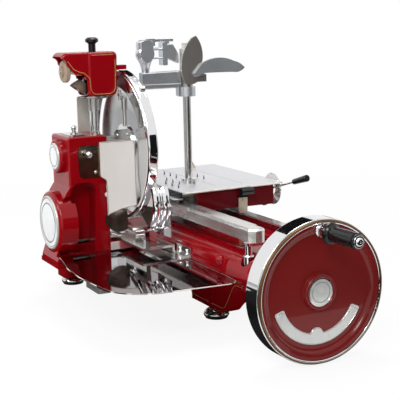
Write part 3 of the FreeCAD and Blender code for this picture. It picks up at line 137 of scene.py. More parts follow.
# %% Metals
finish("chrome", (0.78, 0.78, 0.79), 0.05, metallic=1.0, tint=0.02, rough_range=0.02,
       cells=(25, 25, 25), grain=(150, 150, 150), dent=0.02)
finish("polished_steel", (0.70, 0.69, 0.67), 0.15, metallic=0.95, tint=0.05, rough_range=0.05,
       cells=(30, 30, 30), grain=(40, 900, 900), dent=0.02)
finish("rail_steel", (0.74, 0.72, 0.69), 0.22, metallic=0.85, tint=0.08, rough_range=0.06,
       cells=(60, 7, 60), grain=(1400, 60, 1400), dent=0.05)
finish("blade_steel", (0.66, 0.67, 0.68), 0.20, metallic=1.0, tint=0.06, rough_range=0.06,
       cells=(10, 30, 10), grain=(900, 120, 120), dent=0.04)
finish("satin_steel", (0.88, 0.84, 0.80), 0.42, metallic=0.25, tint=0.03, rough_range=0.05,
       cells=(10, 10, 6), grain=(1200, 1200, 90), dent=0.06)
finish("guard_steel", (0.10, 0.075, 0.06), 0.22, metallic=0.9, tint=0.15, rough_range=0.06,
       cells=(12, 12, 12), grain=(60, 800, 800), dent=0.03)
finish("gear_steel", (0.36, 0.35, 0.33), 0.34, metallic=1.0, tint=0.15, rough_range=0.08)
finish("table_metal", (0.74, 0.74, 0.76), 0.34, metallic=0.55, tint=0.03, rough_range=0.05,
       cells=(14, 14, 14), grain=(70, 1100, 1100), dent=0.05)
finish("badge_metal", (0.66, 0.67, 0.65), 0.34, metallic=0.5, tint=0.05, rough_range=0.07,
       cells=(60, 60, 60), grain=(90, 900, 1200), dent=0.08)
finish("cast_metal", (0.66, 0.69, 0.72), 0.24, metallic=0.75, tint=0.03, rough_range=0.03,
       cells=(18, 18, 18), grain=(420, 420, 420), dent=0.04)
finish("warm_cast", (0.52, 0.49, 0.46), 0.22, metallic=0.80, tint=0.03, rough_range=0.03,
       cells=(18, 18, 18), grain=(420, 420, 420), dent=0.03)
finish("olive_plate", (0.30, 0.26, 0.19), 0.14, metallic=1.0, tint=0.18, rough_range=0.04,
       cells=(30, 30, 30), grain=(60, 900, 900), dent=0.03)
finish("mirror_plate", (0.34, 0.32, 0.33), 0.035, metallic=1.0, tint=0.06, rough_range=0.015,
       cells=(8, 8, 8), grain=(200, 200, 200), dent=0.01)
finish("grey_plate", (0.34, 0.34, 0.33), 0.30, metallic=0.6, tint=0.08, cells=(14, 14, 14))
finish("beige_metal", (0.62, 0.54, 0.43), 0.30, metallic=0.6, tint=0.08, cells=(60, 60, 60))
# painted reflection: the groove's brown colour stands for the red enamel that it mirrors
finish("groove_painted_reflection", (0.16, 0.085, 0.035), 0.35, metallic=0.7, tint=0.15)
finish("warm_edge", (0.80, 0.76, 0.70), 0.30, metallic=0.3, tint=0.04)
finish("warm_dark", (0.34, 0.27, 0.22), 0.35, metallic=0.5, tint=0.08)
finish("warm_grey", (0.50, 0.49, 0.44), 0.42, metallic=0.2, tint=0.06, cells=(14, 14, 14))
finish("badge_white", (0.82, 0.83, 0.84), 0.35, metallic=0.0, tint=0.03, cells=(60, 60, 60))
finish("badge_grey", (0.28, 0.28, 0.29), 0.40, metallic=0.4, tint=0.08)
print("finishes:", len(finishes))

# %% Blacks and stones
finish("black_plastic", (0.005, 0.005, 0.006), 0.28, coat=0.25, tint=0.2, rough_range=0.05,
       cells=(60, 60, 60), grain=(700, 700, 700), dent=0.04, shine=0.25)
finish("abrasive", (0.33, 0.25, 0.18), 0.85, tint=0.28, rough_range=0.1,
       cells=(900, 900, 900), grain=(2400, 2400, 2400), dent=0.7)
finish("cup_stone", (0.16, 0.11, 0.08), 0.8, tint=0.25, rough_range=0.1,
       cells=(900, 900, 900), grain=(2400, 2400, 2400), dent=0.7)
print("finishes:", len(finishes))

# %% [markdown]
# Two finishes in one part
#
# Some parts came off the machine as one piece of work but wear two finishes, such as a chromed
# foot with a rubber pad under it. The mesh of a construction part is never touched, so the
# border is drawn in the shader: the object coordinate is compared with the corners of a box,
# and one set of values holds inside it, the other outside.

# %% The zone builder
def inside_box(tree, low, high):
    """1 inside a box in object coordinates, 0 outside it."""
    where = tree.nodes.new("ShaderNodeTexCoord")
    split = tree.nodes.new("ShaderNodeSeparateXYZ")
    tree.links.new(where.outputs["Object"], split.inputs["Vector"])
    result = None
    for number, axis in enumerate("XYZ"):
        for bound, mode in ((low[number], "GREATER_THAN"), (high[number], "LESS_THAN")):
            test = tree.nodes.new("ShaderNodeMath")
            test.operation = mode
            test.inputs[1].default_value = bound
            tree.links.new(split.outputs[axis], test.inputs[0])
            if result is None:
                result = test.outputs["Value"]
                continue
            both = tree.nodes.new("ShaderNodeMath")
            both.operation = "MULTIPLY"
            tree.links.new(result, both.inputs[0])
            tree.links.new(test.outputs["Value"], both.inputs[1])
            result = both.outputs["Value"]
    return result


def zoned(name, base, low, high, colour, roughness, metallic):
    """A copy of a finish that has other values inside a box; a mix has its sockets by number."""
    material = finishes[base].copy()
    material.name = name
    tree = material.node_tree
    shader = tree.nodes["Principled BSDF"]
    inside = inside_box(tree, low, high)
    base_metallic = shader.inputs["Metallic"].default_value
    values = {"Base Color": (*colour, 1), "Roughness": roughness, "Metallic": metallic}
    for socket, value in values.items():
        mix = tree.nodes.new("ShaderNodeMix")
        mix.data_type = "RGBA" if socket == "Base Color" else "FLOAT"
        first, second, out = (6, 7, 2) if socket == "Base Color" else (2, 3, 0)
        tree.links.new(inside, mix.inputs[0])
        if socket == "Metallic":
            mix.inputs[first].default_value = base_metallic
        else:
            tree.links.new(shader.inputs[socket].links[0].from_socket, mix.inputs[first])
        mix.inputs[second].default_value = value
        tree.links.new(mix.outputs[out], shader.inputs[socket])
    finishes[name] = material
    return material


# %% The zoned finishes
far_out = 9                 # metres, well past the machine on every side
everywhere_low = (-far_out, -far_out, -far_out)
everywhere_high = (far_out, far_out, far_out)
pad_height, knob_height, buffer_length, pin_height = 4.05 * MM, 26 * MM, 30 * MM, 9.7 * MM
knob_black = (0.006, 0.006, 0.007)

feet_low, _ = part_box("feet")
pad_top = (far_out, far_out, feet_low.z + pad_height)
zoned("chromed_feet", "polished_steel", everywhere_low, pad_top, (0.012, 0.012, 0.012), 0.6, 0.0)
_, lever_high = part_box("lock_lever")
knob_bottom = (-far_out, -far_out, lever_high.z - knob_height)
zoned("lever_with_knob", "beige_metal", knob_bottom, everywhere_high, knob_black, 0.15, 0.0)
rail_low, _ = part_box("far_rail")
buffer_end = (far_out, rail_low.y + buffer_length, far_out)
zoned("beam_with_buffer", "dark_red_enamel", everywhere_low, buffer_end, knob_black, 0.25, 0.0)
_, table_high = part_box("table_top")
pin_bottom = (-far_out, -far_out, table_high.z - pin_height)
zoned("table_with_pins", "table_metal", pin_bottom, everywhere_high, (0.20, 0.20, 0.21), 0.15, 1.0)
print("zoned finishes: feet, lock lever, far rail and table top")

# %% [markdown]
# Dressing the construction parts
#
# A table says which finish each part wears. The slots of the imported objects are filled with
# the new materials, so nothing of the construction model changes but its looks.

# %% Which part wears what
dress = {
    "red_enamel": ["base_casting", "column_casting", "sharpener_cover"],
    "dark_red_enamel": ["table_apron", "base_floor_plate"],
    "wheel_enamel": ["wheel_disc"],
    "chrome": ["wheel_rim", "blade_ring", "lower_guard", "rail_posts", "latch_knob", "crank_pin"],
    "rail_steel": ["near_rail", "far_rail_strip"],
    "polished_steel": ["bearings", "column_fittings", "ring_fittings", "clamp_post", "sharpener_collar",
                       "feed_lever", "table_fittings", "steel_brackets", "fixed_screws", "guard_ledge"],
    "blade_steel": ["blade", "blade_hub"],
    "satin_steel": ["slice_deflector"],
    "olive_plate": ["deflector_plate"],
    "guard_steel": ["inner_guard"],
    "mirror_plate": ["slice_tray"],
    "grey_plate": ["tray_pad", "carriage_frame", "far_shoes"],
    "table_with_pins": ["table_top"],
    "badge_metal": ["wheel_badge", "wheel_plate", "column_badges"],
    "cast_metal": ["clamp_arm", "clamp_handle", "grinding_carrier"],
    "warm_cast": ["clamp_sleeve"],
    "gear_steel": ["blade_shaft", "wheel_shaft", "cross_shaft", "drive_chain", "carriage_sprocket",
                   "idler_sprocket", "carriage_chain", "sprocket_brackets", "near_roller_front",
                   "near_roller_rear"],
    "black_plastic": ["crank_grip", "feed_grip", "sharpener_knob"],
    "abrasive": ["grinding_wheel"],
    "cup_stone": ["cup_wheel"],
    "beige_metal": ["wing_lever"],
    "chromed_feet": ["feet"],
    "lever_with_knob": ["lock_lever"],
    "beam_with_buffer": ["far_rail"],
}
for worn, names in dress.items():
    for name in names:
        for slot in nodes[name].material_slots:
            slot.material = finishes[worn]
dressed = [name for names in dress.values() for name in names]
print("dressed:", len(dressed), "left plain:", sorted(set(nodes) - set(dressed)))

# %% [markdown]
# Tools for the small pieces
#
# What a construction model leaves out is small and mostly of three kinds: something turned,
# something cut from sheet, and a line that follows an edge. Each kind gets one tool here. All
# places are given in the millimetres of the construction drawing, whose zero lies at one spot
# of the frame, so a piece can be checked against the drawing.

# %% Places, turned pieces and flat pieces
drawing_zero = Vector((103.084, -325.052, 0))


def at(x, y, z):
    """A point of the drawing, in millimetres, as a place in the frame."""
    return (Vector((x, y, z)) + drawing_zero) * MM


def as_piece(name, mesh, worn, body):
    """Gives a mesh its name, finish, body and slot."""
    mesh.name = name
    mesh.materials.clear()
    mesh.materials.append(finishes[worn])
    piece = bpy.data.objects.new(name, mesh)
    bpy.context.scene.collection.objects.link(piece)
    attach(piece, body)
    return piece


def closed_mesh(name, points, faces):
    """A mesh from points and faces, merged, with its faces turned outwards."""
    mesh = bpy.data.meshes.new(name)
    mesh.from_pydata([tuple(point) for point in points], [], faces)
    work = bmesh.new()
    work.from_mesh(mesh)
    bmesh.ops.remove_doubles(work, verts=work.verts, dist=1e-6)
    bmesh.ops.recalc_face_normals(work, faces=work.faces)
    work.to_mesh(mesh)
    work.free()
    return mesh


def soften(mesh, degrees=35):
    """Smooth shading, with sharp edges where the surface turns more than the angle."""
    mesh.shade_smooth()
    mesh.set_sharp_from_angle(angle=math.radians(degrees))
    return mesh


# For each axis, which of (first, second, level) goes to x, y and z
axis_order = {"x": (2, 0, 1), "y": (0, 2, 1), "z": (0, 1, 2)}


def turned_piece(name, axis, centre, profile, worn, body, steps=96):
    """A ring turned round an axis; the profile is a closed loop of (radius, level)."""
    points = []
    for step in range(steps):
        angle = 2 * math.pi * step / steps
        for radius, level in profile:
            first = centre[0] + radius * math.cos(angle)
            second = centre[1] + radius * math.sin(angle)
            local = (first, second, level)
            points.append(at(*[local[place] for place in axis_order[axis]]))
    size = len(profile)
    faces = []
    for step in range(steps):
        here, there = step * size, (step + 1) % steps * size
        for number in range(size):
            after = (number + 1) % size
            faces.append((here + number, here + after, there + after, there + number))
    return as_piece(name, soften(closed_mesh(name, points, faces)), worn, body)


def cut_piece(name, axis, outline, low, high, worn, body, edge=0.4):
    """A flat piece cut to an outline, from one level to another, with a small bevel."""
    points = []
    for level in (low, high):
        for first, second in outline:
            local = (first, second, level)
            points.append(at(*[local[place] for place in axis_order[axis]]))
    size = len(outline)
    faces = [tuple(range(size)), tuple(range(size, 2 * size))]
    for number in range(size):
        after = (number + 1) % size
        faces.append((number, after, size + after, size + number))
    mesh = closed_mesh(name, points, faces)
    piece = as_piece(name, soften(mesh), worn, body)
    bevel = piece.modifiers.new("edge", "BEVEL")
    bevel.width = edge * MM
    bevel.segments = 2
    bevel.limit_method = "ANGLE"
    bevel.angle_limit = math.radians(40)
    return piece


print("tools for turned and cut pieces are ready")

# %% [markdown]
# Lines and repeated parts
#
# Geometry Nodes draw everything that follows a path or repeats. The first tree turns a chain of
# points into a round line, as a painter's brush or a bead of solder does. The second puts one
# small part at every point it is given. The result is made a plain mesh at once.

# %% The line tree and the repeat tree
def new_tree(name, sockets):
    """A geometry tree with one geometry in and out, and the named inputs."""
    tree = bpy.data.node_groups.new(name, "GeometryNodeTree")
    tree.interface.new_socket("Geometry", in_out="INPUT", socket_type="NodeSocketGeometry")
    tree.interface.new_socket("Geometry", in_out="OUTPUT", socket_type="NodeSocketGeometry")
    for label, kind in sockets:
        tree.interface.new_socket(label, in_out="INPUT", socket_type=kind)
    return tree, tree.nodes.new("NodeGroupInput"), tree.nodes.new("NodeGroupOutput")


def chain(tree, *steps):
    """Links geometry through a row of nodes; each step is (node, socket in, socket out)."""
    for before, after in zip(steps, steps[1:]):
        tree.links.new(before[0].outputs[before[2]], after[0].inputs[after[1]])


line_sockets = [("Radius", "NodeSocketFloat"), ("Finish", "NodeSocketMaterial")]
line_tree, given, result = new_tree("round_line", line_sockets)
to_curve = line_tree.nodes.new("GeometryNodeMeshToCurve")
brush = line_tree.nodes.new("GeometryNodeCurvePrimitiveCircle")
brush.inputs["Resolution"].default_value = 8
to_mesh = line_tree.nodes.new("GeometryNodeCurveToMesh")
to_mesh.inputs["Fill Caps"].default_value = True
flat = line_tree.nodes.new("GeometryNodeRealizeInstances")
wear = line_tree.nodes.new("GeometryNodeSetMaterial")
chain(line_tree, (given, None, "Geometry"), (to_curve, "Mesh", "Curve"), (to_mesh, "Curve", "Mesh"),
      (flat, "Geometry", "Geometry"), (wear, "Geometry", "Geometry"), (result, "Geometry", None))
line_tree.links.new(given.outputs["Radius"], brush.inputs["Radius"])
line_tree.links.new(brush.outputs["Curve"], to_mesh.inputs["Profile Curve"])
line_tree.links.new(given.outputs["Finish"], wear.inputs["Material"])

repeat_sockets = [("Part", "NodeSocketObject"), ("Finish", "NodeSocketMaterial")]
repeat_tree, given, result = new_tree("one_at_each_point", repeat_sockets)
part = repeat_tree.nodes.new("GeometryNodeObjectInfo")
part.inputs["As Instance"].default_value = True
spread_out = repeat_tree.nodes.new("GeometryNodeInstanceOnPoints")
flat = repeat_tree.nodes.new("GeometryNodeRealizeInstances")
wear = repeat_tree.nodes.new("GeometryNodeSetMaterial")
turn_input = repeat_tree.nodes.new("GeometryNodeInputNamedAttribute")
turn_input.data_type = "FLOAT_VECTOR"
turn_input.inputs["Name"].default_value = "turn"
chain(repeat_tree, (given, None, "Geometry"), (spread_out, "Points", "Instances"),
      (flat, "Geometry", "Geometry"), (wear, "Geometry", "Geometry"), (result, "Geometry", None))
repeat_tree.links.new(given.outputs["Part"], part.inputs["Object"])
repeat_tree.links.new(part.outputs["Geometry"], spread_out.inputs["Instance"])
repeat_tree.links.new(turn_input.outputs["Attribute"], spread_out.inputs["Rotation"])
repeat_tree.links.new(given.outputs["Finish"], wear.inputs["Material"])


def grow(name, points, edges, tree, values, turns=None):
    """Runs a tree on points and edges and returns the plain mesh that it makes."""
    seed = bpy.data.meshes.new(name)
    seed.from_pydata([tuple(point) for point in points], edges, [])
    if turns:
        store = seed.attributes.new("turn", "FLOAT_VECTOR", "POINT")
        for number, value in enumerate(turns):
            store.data[number].vector = value
    holder = bpy.data.objects.new(name, seed)
    bpy.context.scene.collection.objects.link(holder)
    modifier = holder.modifiers.new("grow", "NODES")
    modifier.node_group = tree
    for item in tree.interface.items_tree:
        if item.item_type == "SOCKET" and item.in_out == "INPUT" and item.name in values:
            modifier[item.identifier] = values[item.name]
    evaluated = holder.evaluated_get(bpy.context.evaluated_depsgraph_get())
    mesh = bpy.data.meshes.new_from_object(evaluated)
    bpy.data.objects.remove(holder)
    return mesh


def line_piece(name, points, radius, worn, body, closed=False):
    """A round line through points of the frame."""
    edges = [(number, number + 1) for number in range(len(points) - 1)]
    if closed:
        edges.append((len(points) - 1, 0))
    mesh = grow(name, points, edges, line_tree, {"Radius": radius * MM, "Finish": finishes[worn]})
    return as_piece(name, soften(mesh, 60), worn, body)


def repeat_piece(name, part_mesh, points, worn, body, turns=None):
    """The same small part at each point, each turned by its own angles."""
    model = bpy.data.objects.new(name + "_part", part_mesh)
    bpy.context.scene.collection.objects.link(model)
    turns = turns or [(0, 0, 0)] * len(points)
    mesh = grow(name, points, [], repeat_tree, {"Part": model, "Finish": finishes[worn]}, turns)
    bpy.data.objects.remove(model)
    return as_piece(name, soften(mesh), worn, body)


print("trees:", [group.name for group in bpy.data.node_groups])

# %% A line that lies on a part
def surface_of(node):
    """A search tree of one construction part, for finding places on its skin."""
    mesh = nodes[node].data
    triangles = [tuple(face.vertices) for face in mesh.polygons]
    return BVHTree.FromPolygons([vertex.co.copy() for vertex in mesh.vertices], triangles)


def looked_at(skin, start, direction):
    """Where a look from a drawing point along a direction meets the skin, or None."""
    return skin.ray_cast(at(*start), Vector(direction))[0]


def evened(points, spacing):
    """The same path with points at an even spacing."""
    result = [points[0]]
    for before, after in zip(points, points[1:]):
        count = max(1, round((after - before).length / (spacing * MM)))
        for step in range(1, count + 1):
            result.append(before.lerp(after, step / count))
    return result


print("lines can be laid on parts")

# %% [markdown]
# Gold lines on the enamel
#
# Old slicers carry a hand-painted gold line a few millimetres inside every enamelled edge. On
# the hood the line is drawn from the front and laid on the skin. On the base the painter follows
# the lower edge, and so does the cell: it looks at the casting from the side, finds its lowest
# point at each step along it, and lays the line a fixed distance above that.

# %% The line round the hood
hood_skin = surface_of("sharpener_cover")
before_hood = 560      # a y in front of the hood, from where it is looked at
hood_path = [(-349, 633), (-334, 612), (-318, 604), (-308, 602), (-301, 596), (-294, 588),
             (-292, 560), (-287, 550), (-278, 547), (-240, 547), (-230, 551), (-225, 560),
             (-224, 600), (-224, 634)]
found = [looked_at(hood_skin, (x, before_hood, z), (0, 1, 0)) for x, z in hood_path]
hood_line = evened([place for place in found if place], 6)
line_piece("hood_gold_line", hood_line, 0.9, "gold_line", "sharpener")
top_line_height = 646
top_line_x = range(-288, -226, 6)
found = [looked_at(hood_skin, (x, before_hood, top_line_height), (0, 1, 0)) for x in top_line_x]
top_line = [place for place in found if place]
line_piece("hood_top_line", top_line, 0.6, "gold_line", "sharpener")
print("hood line points:", len(hood_line))

# %% The lines along the base
base_skin = surface_of("base_casting")
line_lift = 8.0        # millimetres between the lower edge and the line
beside_base = 300      # millimetres from the middle, from where a side is looked at
side_reach = 140       # no place of the line lies further than this from the middle
edge_heights = range(30, 150, 2)


def lower_edge_line(side, start, end, step):
    """Places a little above the lower edge of the base, seen from one side."""
    places = []
    for y in range(start, end, step):
        for z in edge_heights:
            if looked_at(base_skin, (side * beside_base, y, z), (-side, 0, 0)) is None:
                continue
            place = looked_at(base_skin, (side * beside_base, y, z + line_lift), (-side, 0, 0))
            if place is not None and abs(place.x - at(0, 0, 0).x) < side_reach * MM:
                places.append(place)
            break
    return places


def smoothed(points, rounds):
    """Rounds the corners of a path by averaging neighbours."""
    for _ in range(rounds):
        neighbours = zip(points, points[1:], points[2:])
        inner = [(before + here * 2 + after) / 4 for before, here, after in neighbours]
        points = [points[0]] + inner + [points[-1]]
    return points


left_line = smoothed(lower_edge_line(-1, 20, 585, 6), 2)
line_piece("base_gold_line_left", left_line, 0.9, "gold_line", "base")
right_line = smoothed(lower_edge_line(1, 216, 840, 6), 2)
line_piece("base_gold_line_right", right_line, 0.9, "gold_line", "base")
print("base line points:", len(left_line), len(right_line))

# %% [markdown]
# The flywheel's trim
#
# Between the chromed band and the red disc runs a narrow groove. Its brown colour is a painted
# reflection of the enamel that the groove mirrors. The badge is a bare round plate with an engraved
# ring, and the arc plate has a raised, polished border.

# %% Groove, badge rings and plate border
wheel_centre = (-69, 160)
# the groove wears a painted reflection of the enamel, a brown colour
groove = [(151.6, -104.0), (152.4, -104.5), (155.2, -103.4), (155.9, -101.0), (155.9, -98.0),
          (154.0, -98.0), (151.6, -101.0)]
turned_piece("rim_groove", "y", wheel_centre, groove, "groove_painted_reflection", "flywheel", 160)
face = -93.4
ring = [(21.4, face - 5.1), (22.6, face - 5.1), (22.6, face - 2.0), (21.4, face - 2.0)]
turned_piece("badge_ring", "y", wheel_centre, ring, "badge_grey", "flywheel")
rim = [(28.6, face - 4.2), (30.9, face - 3.8), (30.9, face), (28.6, face)]
turned_piece("badge_rim", "y", wheel_centre, rim, "polished_steel", "flywheel")


plate_face = -90.8         # y of the arc plate's face
border_outer, border_inner = 114.6, 93.4
lug_at, lug_radius, lug_middle = 94, 14.6, -94


def round_point(centre, radius, degrees):
    """Drawing x and z of a point on a circle that faces the operator."""
    angle = math.radians(degrees)
    return centre[0] + radius * math.cos(angle), centre[1] + radius * math.sin(angle)


def on_plate(centre, radius, degrees):
    """A place on the arc plate's face."""
    x, z = round_point(centre, radius, degrees)
    return at(x, plate_face, z)


outer = [on_plate(wheel_centre, border_outer, angle) for angle in range(-160, -27, 3)]
before_lug = [on_plate(wheel_centre, border_inner, angle) for angle in range(-28, lug_middle + 9, -3)]
after_lug = [on_plate(wheel_centre, border_inner, angle) for angle in range(lug_middle - 9, -161, -3)]
lug_centre = round_point(wheel_centre, lug_at, lug_middle)
lug = [on_plate(lug_centre, lug_radius, angle) for angle in range(8, 173, 12)]
border = outer + before_lug + lug + after_lug
line_piece("plate_border", border, 0.9, "polished_steel", "flywheel", closed=True)
print("wheel trim: groove, two rings, border of", len(border), "points")

# %% [markdown]
# The crank grip
#
# The grip is turned black plastic with a flange next to the ferrule, a few fine grooves, and a
# steel washer round its end screw.

# %% Grip flange, grooves and end washer
grip_centre = (-69, 294)
grip_back, grip_front = -130.4, -229.6
flange = [(15.8, grip_back - 1.0), (21.5, grip_back - 1.6), (23.0, grip_back - 4.0),
          (22.0, grip_back - 7.0), (18.2, grip_back - 9.5), (16.0, grip_back - 13.0),
          (15.8, grip_back - 13.0)]
turned_piece("grip_flange", "y", grip_centre, flange, "black_plastic", "crank_grip", 80)
for number, level in enumerate((grip_front + 6.5, grip_front + 9.5)):
    band = [(16.2, level - 0.7), (16.9, level - 0.4), (16.9, level + 0.4), (16.2, level + 0.7)]
    turned_piece(f"grip_band_{number + 1}", "y", grip_centre, band, "black_plastic", "crank_grip",
                 80)
washer = [(9.6, grip_front - 0.9), (12.4, grip_front - 0.9), (13.0, grip_front - 0.3),
          (13.0, grip_front + 0.6), (9.6, grip_front + 0.6)]
turned_piece("grip_washer", "y", grip_centre, washer, "polished_steel", "crank_grip",
             64)
print("grip pieces: 4")

# %% [markdown]
# The column's badges
#
# Both bosses carry a bare white disc inside a milled metal rim. The milling is one small ridge
# repeated round a circle, which is what the repeat tree is for.

# %% White fields and milled rims
boss_y = 660
badge_thickness = 3.4


def small_box(name, x, y, z):
    """A little block with its corners taken off, centred on zero, sizes in millimetres."""
    work = bmesh.new()
    bmesh.ops.create_cube(work, size=1.0)
    bmesh.ops.scale(work, vec=(x * MM, y * MM, z * MM), verts=work.verts)
    corner = min(x, y, z) * 0.2 * MM
    bmesh.ops.bevel(work, geom=work.edges[:], offset=corner, segments=1, affect="EDGES")
    mesh = bpy.data.meshes.new(name)
    work.to_mesh(mesh)
    work.free()
    return mesh


def badge_face(name, boss_z, boss_face, radius, ridges):
    """The white field and the milled rim of one boss badge."""
    level = boss_face - badge_thickness
    centre = (boss_y, boss_z)
    field = [(0.3, level - 0.5), (radius * 0.70, level - 0.5), (radius * 0.71, level + 0.2),
             (radius * 0.71, level + 2.5), (0.3, level + 2.5)]
    turned_piece(name + "_field", "x", centre, field, "badge_white", "base")
    ring_inner, ring_outer = radius * 0.725, radius * 0.745
    ring = [(ring_inner, level - 0.6), (ring_outer, level - 0.6), (ring_outer, level + 2),
            (ring_inner, level + 2)]
    turned_piece(name + "_ring", "x", centre, ring, "badge_grey", "base")
    milled = radius * 0.82
    places, turns = [], []
    for number in range(ridges):
        angle = 2 * math.pi * number / ridges
        y, z = boss_y + milled * math.cos(angle), boss_z + milled * math.sin(angle)
        places.append(at(level + 0.55, y, z))
        turns.append((angle, 0, 0))
    ridge = small_box("ridge", 1.6, radius * 0.13, radius * 0.022)
    repeat_piece(name + "_milling", ridge, places, "badge_white", "base", turns)


badge_face("large_badge", 217, -402, 70, 90)
badge_face("small_badge", 389, -379, 35, 60)
print("badge pieces: 6")

# %% [markdown]
# Table, tray and deflector
#
# Thin bright or dark edges say that a part is sheet metal. The table has a rolled front edge, a
# black strip on its left edge over a light under-plate, and two engraved lines; the tray shows
# its cut edge as a white line; the slice deflector has a fine darker outline.

# %% Trim of the table
table_level = 290.0
roll = [at(x, 484.6, table_level - 2.4) for x in range(-94, 206, 12)]
line_piece("table_front_roll", roll, 2.6, "warm_edge", "table")
strip = [(-104, 276.5), (-98.2, 276.5), (-98.2, 289.4), (-104, 289.4)]
cut_piece("table_black_strip", "y", strip, 490, 880, "black_plastic", "table", 0.8)
sheet = [(-118, 500), (-96, 494), (-96, 872), (-118, 872)]
cut_piece("carriage_light_sheet", "z", sheet, 270.5, 272.5, "table_metal", "carriage")
for number, x in enumerate((24, 104)):
    line = [at(x, y, table_level) for y in range(530, 870, 12)]
    line_piece(f"table_engraved_{number + 1}", line, 0.35, "badge_grey", "table")
print("table trim: 5")

# %% Round plate beside the feed lever
lever_centre = (547, 262)
dial_radius = 44.0
dial = [(17.0, 208.0), (34.0, 208.0), (43.0, 207.6), (dial_radius, 209.0), (43.4, 211.6), (36.0, 213.4),
        (30.0, 211.4), (17.0, 211.0)]
turned_piece("feed_dial", "x", lever_centre, dial, "polished_steel", "table")
print("round plate radius:", dial_radius, "mm")

# %% Edge of the tray, outline of the deflector
tray_level = 135.8
tray_middle = at(-240, 420, tray_level)
outside_tray = 0.2          # metres past the edge, from where it is looked at
tray_outer = [(-401, 590), (-420, 470), (-427, 380), (-424, 290), (-408, 228), (-383, 190),
              (-345, 164), (-292, 152), (-225, 143), (-157, 139), (-140, 143), (-132, 158),
              (-130, 180), (-130, 400)]
tray_skin = surface_of("slice_tray")
edge_points = []
for x, y in tray_outer:
    start = at(x, y, tray_level)
    away = (start - tray_middle).normalized()
    edge_points.append(tray_skin.ray_cast(start + away * outside_tray, -away)[0])
line_piece("tray_edge", evened(edge_points, 12), 1.3, "warm_edge", "base")
deflector_face = 590.8
outline = [(-279.5, 423.6), (-194, 423.6), (-187, 421), (-184.6, 413), (-183.8, 300), (-183.6, 251),
           (-205, 248.2), (-228, 245.4), (-250, 239), (-264, 233.8), (-264.8, 308), (-266, 325),
           (-277, 333)]
places = [at(x, deflector_face, z) for x, z in outline]
line_piece("deflector_outline", evened(places, 10), 0.8, "warm_dark", "base")
print("tray edge and deflector outline")

# %% [markdown]
# Sharpener post, plate behind it, and oblong screws
#
# The collar is knurled so that fingers can turn it: a ring of fine upright ridges. A light
# upright plate stands behind the post. The tray's angle is held by two screws with long heads.

# %% Knurled collar, upright plate and screws
post_x, post_y = -272, 640
knurl_radius, knurl_height, knurls = 16.1, 518, 40
places, turns = [], []
for number in range(knurls):
    angle = 2 * math.pi * number / knurls
    x, y = post_x + knurl_radius * math.cos(angle), post_y + knurl_radius * math.sin(angle)
    places.append(at(x, y, knurl_height))
    turns.append((0, 0, angle))
knurl = small_box("knurl", 1.2, 1.3, 26)
repeat_piece("collar_knurl", knurl, places, "polished_steel", "sharpener", turns)
dark_ring = [(33.0, 535.6), (35.4, 536.4), (35.4, 539.8), (33.0, 540.6)]
turned_piece("collar_dark_ring", "z", (post_x, post_y), dark_ring, "gear_steel", "sharpener")
plate = [(-297, 442.2), (-262, 442.2), (-262, 534), (-266, 537), (-293, 537), (-297, 533)]
cut_piece("upright_plate", "y", plate, 700, 702.5, "warm_grey", "base", 0.6)
screw_height, screw_radius, half_length = 152, 3.6, 4.2
head_back, head_front = -127.9, -131.6
screw = []
for degrees in range(0, 360, 15):
    sine = math.sin(math.radians(degrees))
    shift = half_length if sine > 0 else -half_length
    screw.append((screw_radius * math.cos(math.radians(degrees)), screw_radius * sine + shift))
for number, y in enumerate((414, 452)):
    head = [(y + first, screw_height + second) for first, second in screw]
    cut_piece(f"long_screw_{number + 1}", "x", head, head_front, head_back, "chrome", "base",
              1.2)
print("sharpener and bracket pieces are on")

# %% [markdown]
# The studio
#
# The photograph was cut out on white, so the floor and the world are white to the camera and
# to reflections, and the floor keeps a soft shadow. Chrome looks like chrome only when it has
# something dark to reflect: photographers stand black cards just outside the picture, and so
# does this scene. The cards are hidden from the camera and cast no light.

# %% Floor and world
floor_emission = 0.90      # share of the floor that shines white to the camera, under the object
fade_start, fade_end = 0.9, 2.6     # metres from the object between which the floor turns all white


def light_path_mix(tree, rays, plain, shining, output):
    """A mix of a plain shader and a shining one, with the value that is 1 for the named rays.

    The caller links that value to the mix, by itself or times a share.
    """
    seen = tree.nodes.new("ShaderNodeLightPath")
    value = seen.outputs[rays[0]]
    for ray in rays[1:]:
        either = tree.nodes.new("ShaderNodeMath")
        either.operation = "MAXIMUM"
        tree.links.new(value, either.inputs[0])
        tree.links.new(seen.outputs[ray], either.inputs[1])
        value = either.outputs["Value"]
    mixed = tree.nodes.new("ShaderNodeMixShader")
    tree.links.new(plain, mixed.inputs[1])
    tree.links.new(shining, mixed.inputs[2])
    tree.links.new(mixed.outputs["Shader"], output)
    return value, mixed


white = bpy.data.materials.new("studio_white")
white.use_nodes = True
tree = white.node_tree
paper = tree.nodes["Principled BSDF"]
paper.inputs["Base Color"].default_value = (0.86, 0.86, 0.86, 1)
paper.inputs["Roughness"].default_value = 0.9
paper.inputs["Specular IOR Level"].default_value = 0.0
glow = tree.nodes.new("ShaderNodeEmission")
value, mixed = light_path_mix(tree, ["Is Camera Ray"], paper.outputs["BSDF"], glow.outputs["Emission"],
                              tree.nodes["Material Output"].inputs["Surface"])
where = tree.nodes.new("ShaderNodeTexCoord")
distance = tree.nodes.new("ShaderNodeVectorMath")
distance.operation = "LENGTH"
share = tree.nodes.new("ShaderNodeMapRange")
fade = {"From Min": fade_start, "From Max": fade_end, "To Min": floor_emission, "To Max": 1.0}
for socket, number in fade.items():
    share.inputs[socket].default_value = number
product = tree.nodes.new("ShaderNodeMath")
product.operation = "MULTIPLY"
tree.links.new(where.outputs["Object"], distance.inputs[0])
tree.links.new(distance.outputs["Value"], share.inputs["Value"])
tree.links.new(share.outputs["Result"], product.inputs[0])
tree.links.new(value, product.inputs[1])
tree.links.new(product.outputs["Value"], mixed.inputs["Fac"])


